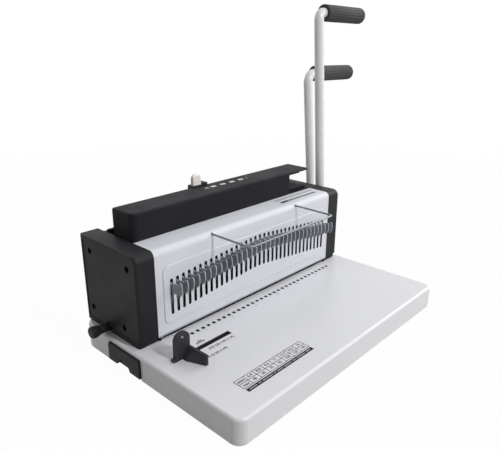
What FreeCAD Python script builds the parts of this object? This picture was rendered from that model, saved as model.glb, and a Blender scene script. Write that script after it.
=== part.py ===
import FreeCAD, Part
import math
import os

# A desk punch-and-bind machine with two levers at its right end.
# The tall lever turns a cranked shaft that drives a row of punch pins down
# through a die under the front panel; the short lever turns a second shaft
# that lifts a press bar towards the anvil under the hood and closes a wire.
#
# Working frame, in millimetres: X runs along the hole row with 0 at the
# tower's middle, Y runs back from the front panel's face, Z up from the deck.
# The finished pieces are moved so that the origin is the middle of the
# footprint on the desk.

# ---------------------------------------------------------------- driving sizes

# Hole row: 34 holes at three to the inch, a little right of the tower's middle
PITCH = 8.467
HOLES = 34
HOLE_R = 2.0
ROW_SHIFT = 2.5

# Fits
RUNNING = 0.05
SLIDING = 0.4
SEATED = 0.02

# Base; its width and back follow the tower
BASE_SIDE = 8.4
BASE_FRONT = 157.0
BASE_REAR = 1.0
BASE_H = 28.7
BASE_WALL = 3.0
BASE_FRONT_R = 11.5
BASE_BACK_R = 22.0
BASE_TOP_R = 3.5
BASE_PLATE_T = 1.5
FOOT_H = 3.0
FOOT_R = 9.0
FOOT_PEG_R = 3.0
FOOT_SIDE_INSET = 27.5
FOOT_FRONT_INSET = 27.0
FOOT_BACK_INSET = 23.0
BASE_SCREW_SIDE_INSET = 16.0
BASE_SCREW_FRONT_INSET = 16.0
BASE_SCREW_BACK_INSET = 31.0
BASE_SCREW_R = 1.5
BASE_BOSS_R = 5.0

# Tower of steel side frames behind the front panel
ROW_END = 13.3
FRAME_T = 3.0
FRAME_REAR = 4.4
FLANGE_W = 20.0
FLANGE_L = 38.0
FLANGE_REAR = 1.4
FLANGE_SCREW_FRONT = 8.0
FLANGE_SCREW_BACK = 6.0
FLANGE_SCREW_R = 2.0
FRAME_BOSS_DEPTH = 6.0
TIE_ROD_R = 5.0
TIE_STUD_R = 3.0
TIE_STUD_PROUD = 1.0
TIE_LOW_BEHIND = 11.6
TIE_LOW_Z = 36.0
TIE_HIGH_AHEAD = 16.4
TIE_HIGH_DROP = 8.0

# Punch: die below the throat, pin guide above it
THROAT = 3.5
DIE_GAP = 2.0
DIE_REAR = 1.0
DIE_T = 8.0
GUIDE_H = 22.5
PIN_Y = 12.0
PIN_SEAT = 16.5
PIN_TIP_GAP = 3.0
SPACER_W = 3.0
DIE_BOLT_R = 2.5
DIE_BOLT_L = 8.0
DIE_BOLT_HEAD = 4.0
POST_R = 5.0
POST_GAP = 3.0
POST_SEAT = 12.0
POST_BAR_H = 8.0
POST_BAR_W = 12.0

# Ram: the pressure bar with its pins, hooks, lugs and yokes
BAR_END = 7.3
BAR_FRONT_WALL = 5.5
BAR_BACK_WALL = 2.0
BAR_STOP = 4.0
BAR_HEADROOM = 6.0
BAR_H = 34.0
ARCH = 13.5
ARCH_ROUND = 1.2
LUG_W = 18.0
LUG_H = 26.0
LUG_WALL = 2.0
LUG_TO_YOKE = 12.0
YOKE_INSET = 43.0
YOKE_W = 8.0
YOKE_WALL = 4.5

# Hook plates, one on each pin, that reach out through the panel's slots
HOOK_T = 1.6
HOOK_H = 14.0
HOOK_REACH = 19.3
HOOK_ROOT = 3.0
HOOK_RELIEF = 3.0
HOOK_RELIEF_L = 5.0
HOOK_BELLY = 2.6
HOOK_BELLY_L = 6.3
HOOK_CHIN = 1.5
HOOK_CHIN_L = 4.0
HOOK_NOSE = 0.3
HOOK_HEAD = 4.2
HOOK_HEAD_LEAN = 1.3
HOOK_HEAD_W = 2.5
HOOK_NICK = 1.5
HOOK_SIDE = 1.2
SLOT_BELOW = 2.4
SLOT_ABOVE = 5.0

# Punch lever and its shaft
PUNCH_BEHIND = 25.0
PUNCH_RISE = 10.0
SHAFT_R = 8.0
SHAFT_PROUD = 2.0
SHAFT_CHAMFER = 1.0
PUNCH_SWING = 75.0
PUNCH_STROKE = 22.0
PUNCH_LEAN = 3.7
PUNCH_REACH = 293.8
PUNCH_BEND_R = 10.0
PUNCH_GRIP_GAP = 1.0

# Closing lever and its shaft
SHAFT_SPACING = 33.4
CLOSE_SWING = 50.0
CLOSE_STROKE = 12.0
CLOSE_LEAN = 4.75
CLOSE_REACH = 207.5
CLOSE_BEND_R = 14.0
CLOSE_GRIP_GAP = 2.0

# Parts that both levers share in size; walls are counted from shaft or tube
CRANK_T = 8.0
CRANK_HUB_WALL = 5.0
CRANK_EYE_R = 5.5
CRANK_GAP = 0.5
ROLLER_R = 5.0
ROLLER_PIN_R = 3.0
YOKE_PLAY = 0.5
YOKE_END_GAP = 1.0
BUSH_WALL = 3.0
BUSH_FLANGE = 2.5
BUSH_FLANGE_T = 2.5
COLLAR_WALL = 4.0
COLLAR_W = 6.0
HUB_WALL = 6.0
HUB_SHOULDER = 0.2
HUB_GAP = 4.1
HUB_APART = 3.0
SOCKET_WALL = 1.8
SOCKET_TOP = 34.0
HUB_EDGE_R = 1.0
HUB_SCREW_R = 2.5
HUB_SCREW_UP = 25.0
HUB_SCREW_HEAD = 3.0
TUBE_R = 7.0
TUBE_WALL = 1.5
TUBE_IN_HUB = 2.0
GRIP_WALL = 4.8
GRIP_L = 98.0
GRIP_DOME_R = 7.0
GRIP_EDGE_R = 0.8
GRIP_DROOP = 0.8
FLUTES = 18
FLUTE_R = 1.1
GRIP_END_WALL = 9.0
SPRING_WIRE_R = 1.0
SPRING_GAP = 1.5
SPRING_TURNS = 6
SPRING_X = 34.0
SPRING_PITCH = 3.0

# Press bar that closes the wire
PRESS_SET = 2.0
PRESS_T = 6.0
PRESS_GAP = 3.2
PRESS_END = 1.8
PRESS_NOTCH = 14.0
PRESS_GROOVE_R = 4.0
WEB_PLAY = 2.73
WEB_T = 4.0
WEB_FOOT = 2.0
PRESS_YOKE_H = 20.0
GIB_W = 5.4
GIB_FLOOR = 1.6
GIB_WALL = 2.6
GIB_BELOW = 4.0
GIB_DROP = 1.0
ANVIL_SET = 7.0
ANVIL_D = 16.0
ANVIL_T = 6.0

# Front panel
PANEL_SIDE = 1.8
PANEL_T = 1.0
PANEL_LOW = 4.5
PANEL_OVER = 4.2
PANEL_BEND_R = 7.5
PANEL_REAR = 6.3
PANEL_LIP = 8.2
EMBOSS_END = 8.3
EMBOSS_BELOW = 10.1
EMBOSS_ABOVE = 3.0
EMBOSS_R = 7.0
EMBOSS_T = 1.0

# End covers and rear cover
COVER_DEPTH = 24.2
COVER_WALL = 2.5
COVER_PROUD = 0.6
COVER_REAR = 2.2
COVER_LOW = 0.3
COVER_STEP_Z = 7.0
COVER_STEP_Y = 2.0
COVER_NOSE_R = 9.0
COVER_EDGE_R = 3.0
RECESS_MARGIN = 4.5
RECESS_DEPTH = 0.6
RECESS_R = 4.0
COVER_HIGH_FRONT = (16.7, 17.5)
COVER_HIGH_BACK = (18.3, 16.6)
COVER_FOOT_FRONT = (30.2, 16.0)
COVER_FOOT_BACK = (15.1, 19.6)
COVER_HOLE_R = 3.8
COVER_BOSS_WALL = 2.6
COVER_BOSS_FLOOR = 3.0
COVER_SCREW_R = 1.9
COVER_SCREW_HEAD_R = 3.4
REAR_COVER_T = 1.4

# Hood over the closing gap
HOOD_SHORT = 6.8
HOOD_RISE = 32.3
HOOD_T = 3.0
HOOD_SKIRT = 10.2
HOOD_EDGE_R = 2.5
HOOD_CORNER_R = 8.0
HOOD_GAP_W = 47.8
HOOD_GAP_SILL = 1.3
HOOD_SCREW_END = 17.8
HOOD_SCREW_MID = 30.0
HOOD_SCREW_DROP = 6.2
HOOD_SCREW_R = 2.0

# Closing-size slider on the hood's rear edge
SLIDER_LEFT = -39.5
SLIDER_JAW = 3.4
SLIDER_DEPTH = 8.5
SLIDER_CLEAR = 0.5
SLIDER_REAR = 9.0
SLIDER_LAP = 2.0
SLIDER_RISE = 1.4
SLIDER_LUG_W = 7.0
SLIDER_LUG_H = 2.0
SLIDER_EDGE_R = 1.2
KNOB_W = 14.0
KNOB_D = 5.5
KNOB_H = 14.3
KNOB_LEFT = 1.3
KNOB_GAP = 1.5
KNOB_EDGE_R = 1.5
SIZE_STOP_H = 8.0
SIZE_STOP_INSET = 2.0

# Wire rack that slides out under the panel's top
RACK_HALF = 77.2
RACK_SHIFT = 4.0
RACK_GAP = 0.9
RACK_WIRE_R = 1.2
RACK_REACH = 59.5
RACK_TAIL = 3.5
RACK_CORNER_R = 5.0
RACK_GUIDE_GAP = 0.5
RACK_GUIDE_L = 9.0
RACK_GUIDE_H = 6.0
RACK_GUIDE_W = 12.0
RACK_GUIDE_LIFT = 1.2

# Margin knob, its eccentric and the depth stop
MARGIN_AHEAD = 0.5
MARGIN_Z = 7.5
MARGIN_SHAFT_R = 4.0
MARGIN_CAM_R = 5.0
MARGIN_THROW = 2.0
MARGIN_CAM_W = 4.0
MARGIN_PLAY = 0.8
MARGIN_END_GAP = 2.0
MARGIN_KNOB_L = 24.5
MARGIN_NECK_WALL = 1.2
MARGIN_KNOB_R = 6.8
MARGIN_KNOB_RIM = 6.0
MARGIN_KNOB_EDGE_R = 1.5
STOP_INSET = 10.0
STOP_BEHIND = 6.0
STOP_PRONG_T = 2.0
STOP_PRONG_GAP = 1.0

# Edge guide that slides in the deck's slot
TRACK_INSET = 20.3
TRACK_L = 81.7
TRACK_FRONT = -44.1
TRACK_W = 5.5
STEM_START = 2.5
STEM_L = 17.0
FENCE_T = 3.0
FENCE_L = 28.6
FENCE_H = 12.0
TAB_W = 20.0
TAB_H = 30.8
TAB_T = 4.0
TAB_R = 8.5
TAB_SET = 0.7
GUSSET_W = 12.0
GUSSET_STEP = 7.0
GUIDE_LIFT = 0.4
GUIDE_LIP = 3.0
SHOE_W = 17.0
SHOE_T = 2.0

# Chip tray under the die
TRAY_FRONT = -9.7
TRAY_BACK = 49.0
TRAY_FACE_GAP = 2.1
TRAY_FACE_TOP = 4.2
TRAY_FACE_T = 4.5
TRAY_PROUD = 2.5
TRAY_END = 8.0
TRAY_RIM = 16.5
TRAY_WALL = 1.5
TRAY_NOTCH_IN = 17.4
TRAY_NOTCH_W = 26.0
TRAY_NOTCH_H = 10.0
TRAY_CORNER_R = 3.0


def crank_radius(stroke, swing):
    """Crank throw whose pin rises and falls evenly about the shaft's height."""
    return stroke / (2 * math.sin(math.radians(swing / 2)))


# ------------------------------------------------- sizes that follow from others

PIN_R = HOLE_R - RUNNING
SLOT_W = HOOK_T + 2 * HOOK_SIDE
BUSH_R = SHAFT_R + BUSH_WALL
BUSH_FLANGE_R = BUSH_R + BUSH_FLANGE
COLLAR_R = SHAFT_R + COLLAR_WALL
CRANK_HUB_R = SHAFT_R + CRANK_HUB_WALL
HUB_R = SHAFT_R + HUB_WALL
SPRING_R = SHAFT_R + SPRING_GAP + SPRING_WIRE_R
SOCKET_R = TUBE_R + SOCKET_WALL
GRIP_R = TUBE_R + GRIP_WALL
HUB_W = 2 * (SOCKET_R + HUB_SHOULDER)
TUBE_FOOT = HUB_R - TUBE_IN_HUB
COVER_BOSS_R = COVER_HOLE_R + COVER_BOSS_WALL
MARGIN_KNOB_NECK_R = MARGIN_SHAFT_R + MARGIN_NECK_WALL
SLIDER_W = KNOB_LEFT + KNOB_W + KNOB_GAP + SLIDER_LUG_W
GIB_D = WEB_T + 2 * (SLIDING + GIB_WALL)
STOP_T = THROAT - 2 * SLIDING
PUNCH_THROW = crank_radius(PUNCH_STROKE, PUNCH_SWING)
CLOSE_THROW = crank_radius(CLOSE_STROKE, CLOSE_SWING)

# Along the row, outwards from its middle
ROW_HALF = PITCH * (HOLES - 1) / 2
BAR_HALF = ROW_HALF + BAR_END
EMBOSS_HALF = ROW_HALF + EMBOSS_END
TRAY_RIGHT = ROW_HALF + TRAY_END
FRAME_IN = ROW_HALF + ROW_END
FRAME_OUT = FRAME_IN + FRAME_T
STOP_HALF = FRAME_IN - STOP_INSET
WEB_HALF = FRAME_IN - GIB_FLOOR - SLIDING
YOKE_X = FRAME_IN - YOKE_INSET
POST_X = YOKE_X - YOKE_W / 2 - LUG_TO_YOKE - LUG_W / 2
CRANK_IN = YOKE_X + YOKE_W / 2 + CRANK_GAP
PANEL_HALF = FRAME_OUT + PANEL_SIDE
PRESS_HALF = PANEL_HALF - HOOD_T - PRESS_END
HOOD_LEFT = -PANEL_HALF
HOOD_RIGHT = PANEL_HALF - HOOD_SHORT
HOOD_GAP_LEFT = PANEL_HALF - HOOD_GAP_W
HOOD_SCREW_OUT = PANEL_HALF - HOOD_SCREW_END
HOOD_SCREW_X = (-HOOD_SCREW_OUT, -HOOD_SCREW_MID, HOOD_SCREW_MID, HOOD_SCREW_OUT)
COVER_IN = PANEL_HALF + SLIDING
COVER_OUT = COVER_IN + COVER_DEPTH
PUNCH_PLANE = COVER_OUT + HUB_GAP + HUB_W / 2
CLOSE_PLANE = PUNCH_PLANE + HUB_W + HUB_APART
BASE_HALF = COVER_OUT + BASE_SIDE
FOOT_X = BASE_HALF - FOOT_SIDE_INSET
BASE_SCREW_OUT = BASE_HALF - BASE_SCREW_SIDE_INSET
BASE_SCREW_X = (-BASE_SCREW_OUT, 0, BASE_SCREW_OUT)
TRACK_LEFT = TRACK_INSET - BASE_HALF
TRACK_RIGHT = TRACK_LEFT + TRACK_L
STEM_LEFT = TRACK_LEFT + STEM_START
FENCE_X = STEM_LEFT + (TAB_W + STEM_L) / 2

# From the panel's face towards the back
HOOK_TAIL = PIN_Y - HOLE_R
STOP_FRONT = PIN_Y + HOLE_R + STOP_BEHIND
BAR_FRONT = PIN_Y - HOLE_R - BAR_FRONT_WALL
BAR_BACK = PIN_Y + HOLE_R + BAR_BACK_WALL
POST_Y = BAR_BACK + POST_GAP + POST_R
DIE_FRONT = PANEL_T + DIE_GAP
DIE_BACK = POST_Y + POST_R + DIE_REAR
PANEL_BACK = POST_Y + POST_BAR_W / 2 + PANEL_REAR
HOOD_FRONT = PANEL_BACK
PRESS_FRONT = HOOD_FRONT + HOOD_T + PRESS_SET
ANVIL_FRONT = PRESS_FRONT + ANVIL_SET
PRESS_GROOVE_Y = ANVIL_FRONT + ANVIL_D / 2
HOOD_BACK = ANVIL_FRONT + ANVIL_D + SLIDER_CLEAR + SLIDER_DEPTH
RACK_GUIDE_FRONT = PANEL_BEND_R + RACK_GUIDE_GAP
PUNCH_Y = BAR_BACK + PUNCH_BEHIND
PUNCH_PIN_Y = PUNCH_Y - PUNCH_THROW * math.cos(math.radians(PUNCH_SWING / 2))
CLOSE_Y = PUNCH_Y + SHAFT_SPACING
CLOSE_PIN_Y = CLOSE_Y + CLOSE_THROW * math.cos(math.radians(CLOSE_SWING / 2))
WEB_FRONT = CLOSE_PIN_Y + ROLLER_R + WEB_PLAY
PRESS_BACK = WEB_FRONT + WEB_T
FRAME_BACK = PRESS_BACK + FRAME_REAR
FLANGE_BACK = FRAME_BACK - FLANGE_REAR
FLANGE_FRONT = FLANGE_BACK - FLANGE_L
FLANGE_SCREW_Y = (FLANGE_FRONT + FLANGE_SCREW_FRONT, FLANGE_BACK - FLANGE_SCREW_BACK)
MARGIN_Y = FLANGE_FRONT - MARGIN_AHEAD - MARGIN_SHAFT_R
COVER_FRONT = -COVER_PROUD
COVER_BACK = FRAME_BACK + REAR_COVER_T + COVER_REAR
BASE_BACK = COVER_BACK + BASE_REAR
FOOT_Y = (FOOT_FRONT_INSET - BASE_FRONT, BASE_BACK - FOOT_BACK_INSET)
BASE_SCREW_Y = (BASE_SCREW_FRONT_INSET - BASE_FRONT, BASE_BACK - BASE_SCREW_BACK_INSET)
TAB_Y = TRACK_FRONT + TAB_SET
FENCE_FRONT = TAB_Y - FENCE_L
TRAY_NOTCH_FRONT = TRAY_FRONT + TRAY_NOTCH_IN
TRAY_NOTCH_BACK = TRAY_NOTCH_FRONT + TRAY_NOTCH_W

# Up from the deck, then down into the base
PIN_TIP_REST = THROAT + PIN_TIP_GAP
GUIDE_TOP = THROAT + GUIDE_H
BAR_LOW = GUIDE_TOP + PUNCH_STROKE + BAR_STOP
HOOK_LOW = BAR_LOW
PIN_L = BAR_LOW + PIN_SEAT - PIN_TIP_REST
PUNCH_Z = BAR_LOW + PUNCH_RISE
PUNCH_PIN_Z = PUNCH_Z + PUNCH_STROKE / 2
CLOSE_Z = PUNCH_Z
CLOSE_PIN_Z = CLOSE_Z - CLOSE_STROKE / 2
SHAFT_AXES = ((PUNCH_Y, PUNCH_Z), (CLOSE_Y, CLOSE_Z))
SLOT_LOW = HOOK_LOW - PUNCH_STROKE - SLOT_BELOW
SLOT_L = SLOT_BELOW + PUNCH_STROKE + HOOK_H + SLOT_ABOVE
EMBOSS_LOW = SLOT_LOW - EMBOSS_BELOW
EMBOSS_TOP = SLOT_LOW + SLOT_L + ARCH + EMBOSS_ABOVE
POST_TOP = BAR_LOW + BAR_H + BAR_HEADROOM + POST_BAR_H
PANEL_TOP = POST_TOP + RACK_GUIDE_LIFT + RACK_GUIDE_H + PANEL_T
RACK_Z = PANEL_TOP - PANEL_T - RACK_GAP - RACK_WIRE_R
FRAME_TOP = PANEL_TOP - PANEL_OVER
TIE_RODS = ((CLOSE_Y + TIE_LOW_BEHIND, TIE_LOW_Z), (CLOSE_Y - TIE_HIGH_AHEAD, FRAME_TOP - TIE_HIGH_DROP))
PRESS_LOW = FRAME_TOP + PRESS_GAP
WEB_LOW = CLOSE_PIN_Z - PRESS_YOKE_H / 2 - WEB_FOOT
GIB_LOW = WEB_LOW - GIB_BELOW
GIB_TOP = FRAME_TOP - GIB_DROP
HOOD_LOW = PANEL_TOP - HOOD_SKIRT
HOOD_GAP_LOW = PANEL_TOP + HOOD_GAP_SILL
HOOD_TOP = PANEL_TOP + HOOD_RISE
HOOD_SCREW_Z = PANEL_TOP - HOOD_SCREW_DROP
COVER_TOP = PANEL_TOP
COVER_HOLES = (
    (COVER_FRONT + COVER_HIGH_FRONT[0], COVER_TOP - COVER_HIGH_FRONT[1]),
    (COVER_BACK - COVER_HIGH_BACK[0], COVER_TOP - COVER_HIGH_BACK[1]),
    (COVER_FRONT + COVER_FOOT_FRONT[0], COVER_LOW + COVER_FOOT_FRONT[1]),
    (COVER_BACK - COVER_FOOT_BACK[0], COVER_LOW + COVER_FOOT_BACK[1]))
PLATE_TOP = BASE_PLATE_T - BASE_H
TRAY_FACE_LOW = BASE_H - TRAY_FACE_GAP


def grip_start(plane, bend_r, gap):
    """X of a grip's inner end, just past the lever's bend."""
    turn = math.radians(90 + GRIP_DROOP)
    return plane + (bend_r * math.tan(turn / 2) + gap) * math.cos(math.radians(GRIP_DROOP))


# The finished frame's origin, in the working frame
GRIP_TIP_X = (grip_start(CLOSE_PLANE, CLOSE_BEND_R, CLOSE_GRIP_GAP)
              + GRIP_L * math.cos(math.radians(GRIP_DROOP)))
KNOB_TIP_X = -COVER_OUT - MARGIN_KNOB_L
ORIGIN_X = (GRIP_TIP_X + KNOB_TIP_X) / 2
ORIGIN_Y = (BASE_BACK - BASE_FRONT) / 2
ORIGIN_Z = -BASE_H - FOOT_H

# ------------------------------------------------------------------ shape helpers


def vec(x, y, z):
    """A point or direction."""
    return FreeCAD.Vector(x, y, z)


def block(x0, x1, y0, y1, z0, z1):
    """A box between two corners."""
    return Part.makeBox(x1 - x0, y1 - y0, z1 - z0, vec(x0, y0, z0))


def rod(radius, start, end):
    """A round bar between two points."""
    return Part.makeCylinder(radius, (end - start).Length, start, end - start)


def rod_x(radius, y, z, x0, x1):
    """A round bar along X."""
    return rod(radius, vec(x0, y, z), vec(x1, y, z))


def rod_z(radius, x, y, z0, z1):
    """A round bar along Z."""
    return rod(radius, vec(x, y, z0), vec(x, y, z1))


def side_block(side, x0, x1, y0, y1, z0, z1):
    """A box given for the right side, on the right (1) or the left (-1)."""
    low, high = sorted((side * x0, side * x1))
    return block(low, high, y0, y1, z0, z1)


def joined(shapes):
    """One solid from pieces that meet."""
    return shapes[0].fuse(shapes[1:]).removeSplitter()


def group(solids):
    """Several separate solids as one shape."""
    return Part.makeCompound(solids)


def prism_x(points, x0, x1):
    """A plate with a straight-sided outline of (y, z) points, between two X."""
    corners = [vec(x0, y, z) for y, z in points]
    face = Part.Face(Part.makePolygon(corners + corners[:1]))
    return face.extrude(vec(x1 - x0, 0, 0))


def fillet(shape, radius, wanted):
    """Round the edges that a test picks."""
    return shape.makeFillet(radius, [edge for edge in shape.Edges if wanted(edge)])


def spans(edge, axis):
    """Whether an edge is straight along one axis, 'x', 'y' or 'z'."""
    box = edge.BoundBox
    lengths = {"x": box.XLength, "y": box.YLength, "z": box.ZLength}
    own = lengths.pop(axis)
    return own > 0.01 and max(lengths.values()) < 0.01


def near(value, target):
    """Whether two positions agree."""
    return abs(value - target) < 0.01


def row_places():
    """X of each hole in the row, from the left."""
    return [PITCH * index - ROW_HALF + ROW_SHIFT for index in range(HOLES)]


def rack_places():
    """X of the rack's two arms."""
    return [RACK_SHIFT - RACK_HALF, RACK_SHIFT + RACK_HALF]


def arch_rise(x):
    """How far the hook and slot at this X stand above the row's end ones."""
    slope = math.sqrt((ARCH + ARCH_ROUND) ** 2 - ARCH_ROUND ** 2) / ROW_HALF
    drop = math.sqrt((slope * (x - ROW_SHIFT)) ** 2 + ARCH_ROUND ** 2) - ARCH_ROUND
    return ARCH - drop


def rounded_slab(half, front, back, low, top, front_r, back_r):
    """A slab whose vertical corners are round, larger at the back."""
    slab = block(-half, half, front, back, low, top)
    slab = fillet(slab, front_r, lambda e: spans(e, "z") and near(e.BoundBox.YMin, front))
    return fillet(slab, back_r, lambda e: spans(e, "z") and near(e.BoundBox.YMax, back))


def stadium(x, low, height, width, y0, y1):
    """An upright slot shape with round ends, cut along Y."""
    radius = width / 2
    bar = block(x - radius, x + radius, y0, y1, low + radius, low + height - radius)
    ends = [rod(radius, vec(x, y0, z), vec(x, y1, z))
            for z in (low + radius, low + height - radius)]
    return bar.fuse(ends)


def tapered_link(side, hub, hub_r, eye, eye_r, x0, x1):
    """A plate with a large and a small round end, joined by tangent flanks."""
    along = math.atan2(eye[1] - hub[1], eye[0] - hub[0])
    length = math.hypot(eye[0] - hub[0], eye[1] - hub[1])
    spread = math.acos((hub_r - eye_r) / length)
    flank = []
    for centre, radius, sign in ((hub, hub_r, 1), (hub, hub_r, -1), (eye, eye_r, -1), (eye, eye_r, 1)):
        angle = along + sign * spread
        flank.append((centre[0] + radius * math.cos(angle), centre[1] + radius * math.sin(angle)))
    return joined([
        rod_x(hub_r, hub[0], hub[1], side * x0, side * x1),
        rod_x(eye_r, eye[0], eye[1], side * x0, side * x1),
        prism_x(flank, side * x0, side * x1),
    ])


# ---------------------------------------------------------------------- the base


def base_shell():
    """Moulded base: deck, walls, screw bosses, and the openings in them."""
    outer = rounded_slab(BASE_HALF, -BASE_FRONT, BASE_BACK, -BASE_H, 0, BASE_FRONT_R, BASE_BACK_R)
    outer = fillet(outer, BASE_TOP_R, lambda e: near(e.BoundBox.ZMin, 0))
    inner = rounded_slab(BASE_HALF - BASE_WALL, BASE_WALL - BASE_FRONT, BASE_BACK - BASE_WALL,
                         -BASE_H - BASE_WALL, -BASE_WALL, BASE_FRONT_R - BASE_WALL,
                         BASE_BACK_R - BASE_WALL)
    bosses = [rod_z(BASE_BOSS_R, x, y, PLATE_TOP, -BASE_WALL)
              for x in BASE_SCREW_X for y in BASE_SCREW_Y]
    bosses += [rod_z(BASE_BOSS_R, side * flange_screw_x(), y, -BASE_WALL - FRAME_BOSS_DEPTH, -BASE_WALL)
               for side in (-1, 1) for y in FLANGE_SCREW_Y]
    shell = joined([outer.cut(inner)] + bosses)
    cutters = [rod_z(BASE_SCREW_R, x, y, PLATE_TOP, -2 * BASE_WALL)
               for x in BASE_SCREW_X for y in BASE_SCREW_Y]
    cutters += [rod_z(FLANGE_SCREW_R + RUNNING, side * flange_screw_x(), y,
                      -BASE_WALL - FRAME_BOSS_DEPTH, 0)
                for side in (-1, 1) for y in FLANGE_SCREW_Y]
    die_half = FRAME_OUT + DIE_BOLT_HEAD + SLIDING
    cutters.append(block(-die_half, die_half, DIE_FRONT - SLIDING, DIE_BACK + SLIDING, -BASE_WALL, 0))
    cutters.append(block(TRACK_LEFT, TRACK_RIGHT, TRACK_FRONT, TRACK_FRONT + TRACK_W, -BASE_WALL, 0))
    cutters.append(block(-BASE_HALF, -BASE_HALF + BASE_WALL, TRAY_FRONT - SLIDING,
                         TRAY_BACK + SLIDING, -BASE_H, -TRAY_FACE_TOP + SLIDING))
    return shell.cut(cutters)


def flange_screw_x():
    """Distance of the tower's foot screws from the middle."""
    return FRAME_OUT + FLANGE_W / 2


def base_plate():
    """Steel plate that closes the base from below."""
    inset = BASE_WALL + SLIDING
    plate = rounded_slab(BASE_HALF - inset, inset - BASE_FRONT, BASE_BACK - inset, -BASE_H, PLATE_TOP,
                         BASE_FRONT_R - inset, BASE_BACK_R - inset)
    cutters = [rod_z(BASE_SCREW_R + 2 * RUNNING, x, y, -BASE_H, PLATE_TOP)
               for x in BASE_SCREW_X for y in BASE_SCREW_Y]
    cutters += [rod_z(FOOT_PEG_R + SEATED, side * FOOT_X, y, -BASE_H, PLATE_TOP)
                for side in (-1, 1) for y in FOOT_Y]
    cutters.append(block(-BASE_HALF, -BASE_HALF + 4 * BASE_WALL, TRAY_NOTCH_FRONT, TRAY_NOTCH_BACK,
                         -BASE_H, PLATE_TOP))
    return plate.cut(cutters)


def rubber_feet():
    """Four round feet with pegs in the base plate."""
    feet = []
    for side in (-1, 1):
        for y in FOOT_Y:
            pad = rod_z(FOOT_R, side * FOOT_X, y, -BASE_H - FOOT_H, -BASE_H)
            pad = fillet(pad, FOOT_H / 4, lambda e: near(e.BoundBox.ZMax, -BASE_H - FOOT_H))
            feet.append(pad.fuse(rod_z(FOOT_PEG_R, side * FOOT_X, y, -BASE_H, PLATE_TOP)))
    return group(feet)


def base_screws():
    """Pan-head screws that hold the base plate to the shell's bosses."""
    head_h = FOOT_H * 0.6
    shank_r = BASE_SCREW_R - RUNNING
    return group([rod_z(2 * BASE_SCREW_R, x, y, -BASE_H - head_h, -BASE_H).fuse(
                  rod_z(shank_r, x, y, -BASE_H, -BASE_H / 2))
                  for x in BASE_SCREW_X for y in BASE_SCREW_Y])


def chip_tray():
    """Open bin that catches the punched chips below the die."""
    left = -BASE_HALF - TRAY_PROUD + TRAY_FACE_T
    low = PLATE_TOP + SLIDING
    outer = block(left, TRAY_RIGHT, TRAY_FRONT + TRAY_WALL, TRAY_BACK - TRAY_WALL, low, -TRAY_RIM)
    inner = block(left + TRAY_WALL, TRAY_RIGHT - TRAY_WALL, TRAY_FRONT + 2 * TRAY_WALL,
                  TRAY_BACK - 2 * TRAY_WALL, low + TRAY_WALL, -TRAY_RIM)
    return outer.cut(inner)


def tray_face():
    """The tray's front with its arched finger notch."""
    left = -BASE_HALF - TRAY_PROUD
    face = block(left, left + TRAY_FACE_T, TRAY_FRONT, TRAY_BACK, -TRAY_FACE_LOW, -TRAY_FACE_TOP)
    face = fillet(face, TRAY_CORNER_R, lambda e: spans(e, "x") and near(e.BoundBox.ZMax, -TRAY_FACE_TOP))
    face = fillet(face, TRAY_CORNER_R / 3, lambda e: near(e.BoundBox.XMax, left))
    middle = (TRAY_NOTCH_FRONT + TRAY_NOTCH_BACK) / 2
    half = (TRAY_NOTCH_BACK - TRAY_NOTCH_FRONT) / 2
    top = -TRAY_FACE_LOW + TRAY_NOTCH_H
    arc = Part.Arc(vec(left, middle - half, -TRAY_FACE_LOW), vec(left, middle, top),
                   vec(left, middle + half, -TRAY_FACE_LOW)).toShape()
    chord = Part.makeLine(vec(left, middle + half, -TRAY_FACE_LOW), vec(left, middle - half, -TRAY_FACE_LOW))
    notch = Part.Face(Part.Wire([arc, chord])).extrude(vec(TRAY_FACE_T, 0, 0))
    return face.cut(notch)


# -------------------------------------------------------- tower, die and its ties


def side_frame(side):
    """Steel side plate with a foot flange; it carries both shafts."""
    outline = [(DIE_FRONT, -DIE_T), (DIE_FRONT, 0), (PANEL_T, 0),
               (PANEL_T, FRAME_TOP - PANEL_BEND_R + PANEL_T), (PANEL_BEND_R, FRAME_TOP),
               (FRAME_BACK, FRAME_TOP), (FRAME_BACK, 0), (DIE_BACK, 0), (DIE_BACK, -DIE_T)]
    plate = prism_x(outline, side * FRAME_IN, side * FRAME_OUT)
    flange = side_block(side, FRAME_OUT, FRAME_OUT + FLANGE_W, FLANGE_FRONT, FLANGE_BACK, 0, FRAME_T)
    frame = joined([plate, flange])
    ends = (side * FRAME_IN, side * FRAME_OUT)
    cutters = [rod_x(BUSH_R + SEATED, y, z, *ends) for y, z in SHAFT_AXES]
    cutters.append(side_block(side, FRAME_IN, FRAME_OUT, PANEL_BACK - PANEL_T - SLIDING,
                              HOOD_FRONT + HOOD_T + SLIDING, HOOD_LOW - SLIDING, FRAME_TOP))
    cutters += [rod_x(TIE_STUD_R + RUNNING, y, z, *ends) for y, z in TIE_RODS]
    cutters += [rod_x(DIE_BOLT_R + RUNNING, PIN_Y, z, *ends) for z in die_bolt_heights()]
    cutters += [rod_x(COVER_SCREW_R + RUNNING, y, z, *ends) for y, z in COVER_HOLES]
    cutters += [rod_z(FLANGE_SCREW_R + RUNNING, side * flange_screw_x(), y, 0, FRAME_T)
                for y in FLANGE_SCREW_Y]
    if side < 0:
        cutters.append(rod_x(MARGIN_SHAFT_R + RUNNING, MARGIN_Y, MARGIN_Z, *ends))
    return frame.cut(cutters)


def die_bolt_heights():
    """Heights of the bolts that hold the die and the pin guide."""
    return (-DIE_T / 2, THROAT + GUIDE_H / 2)


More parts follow.
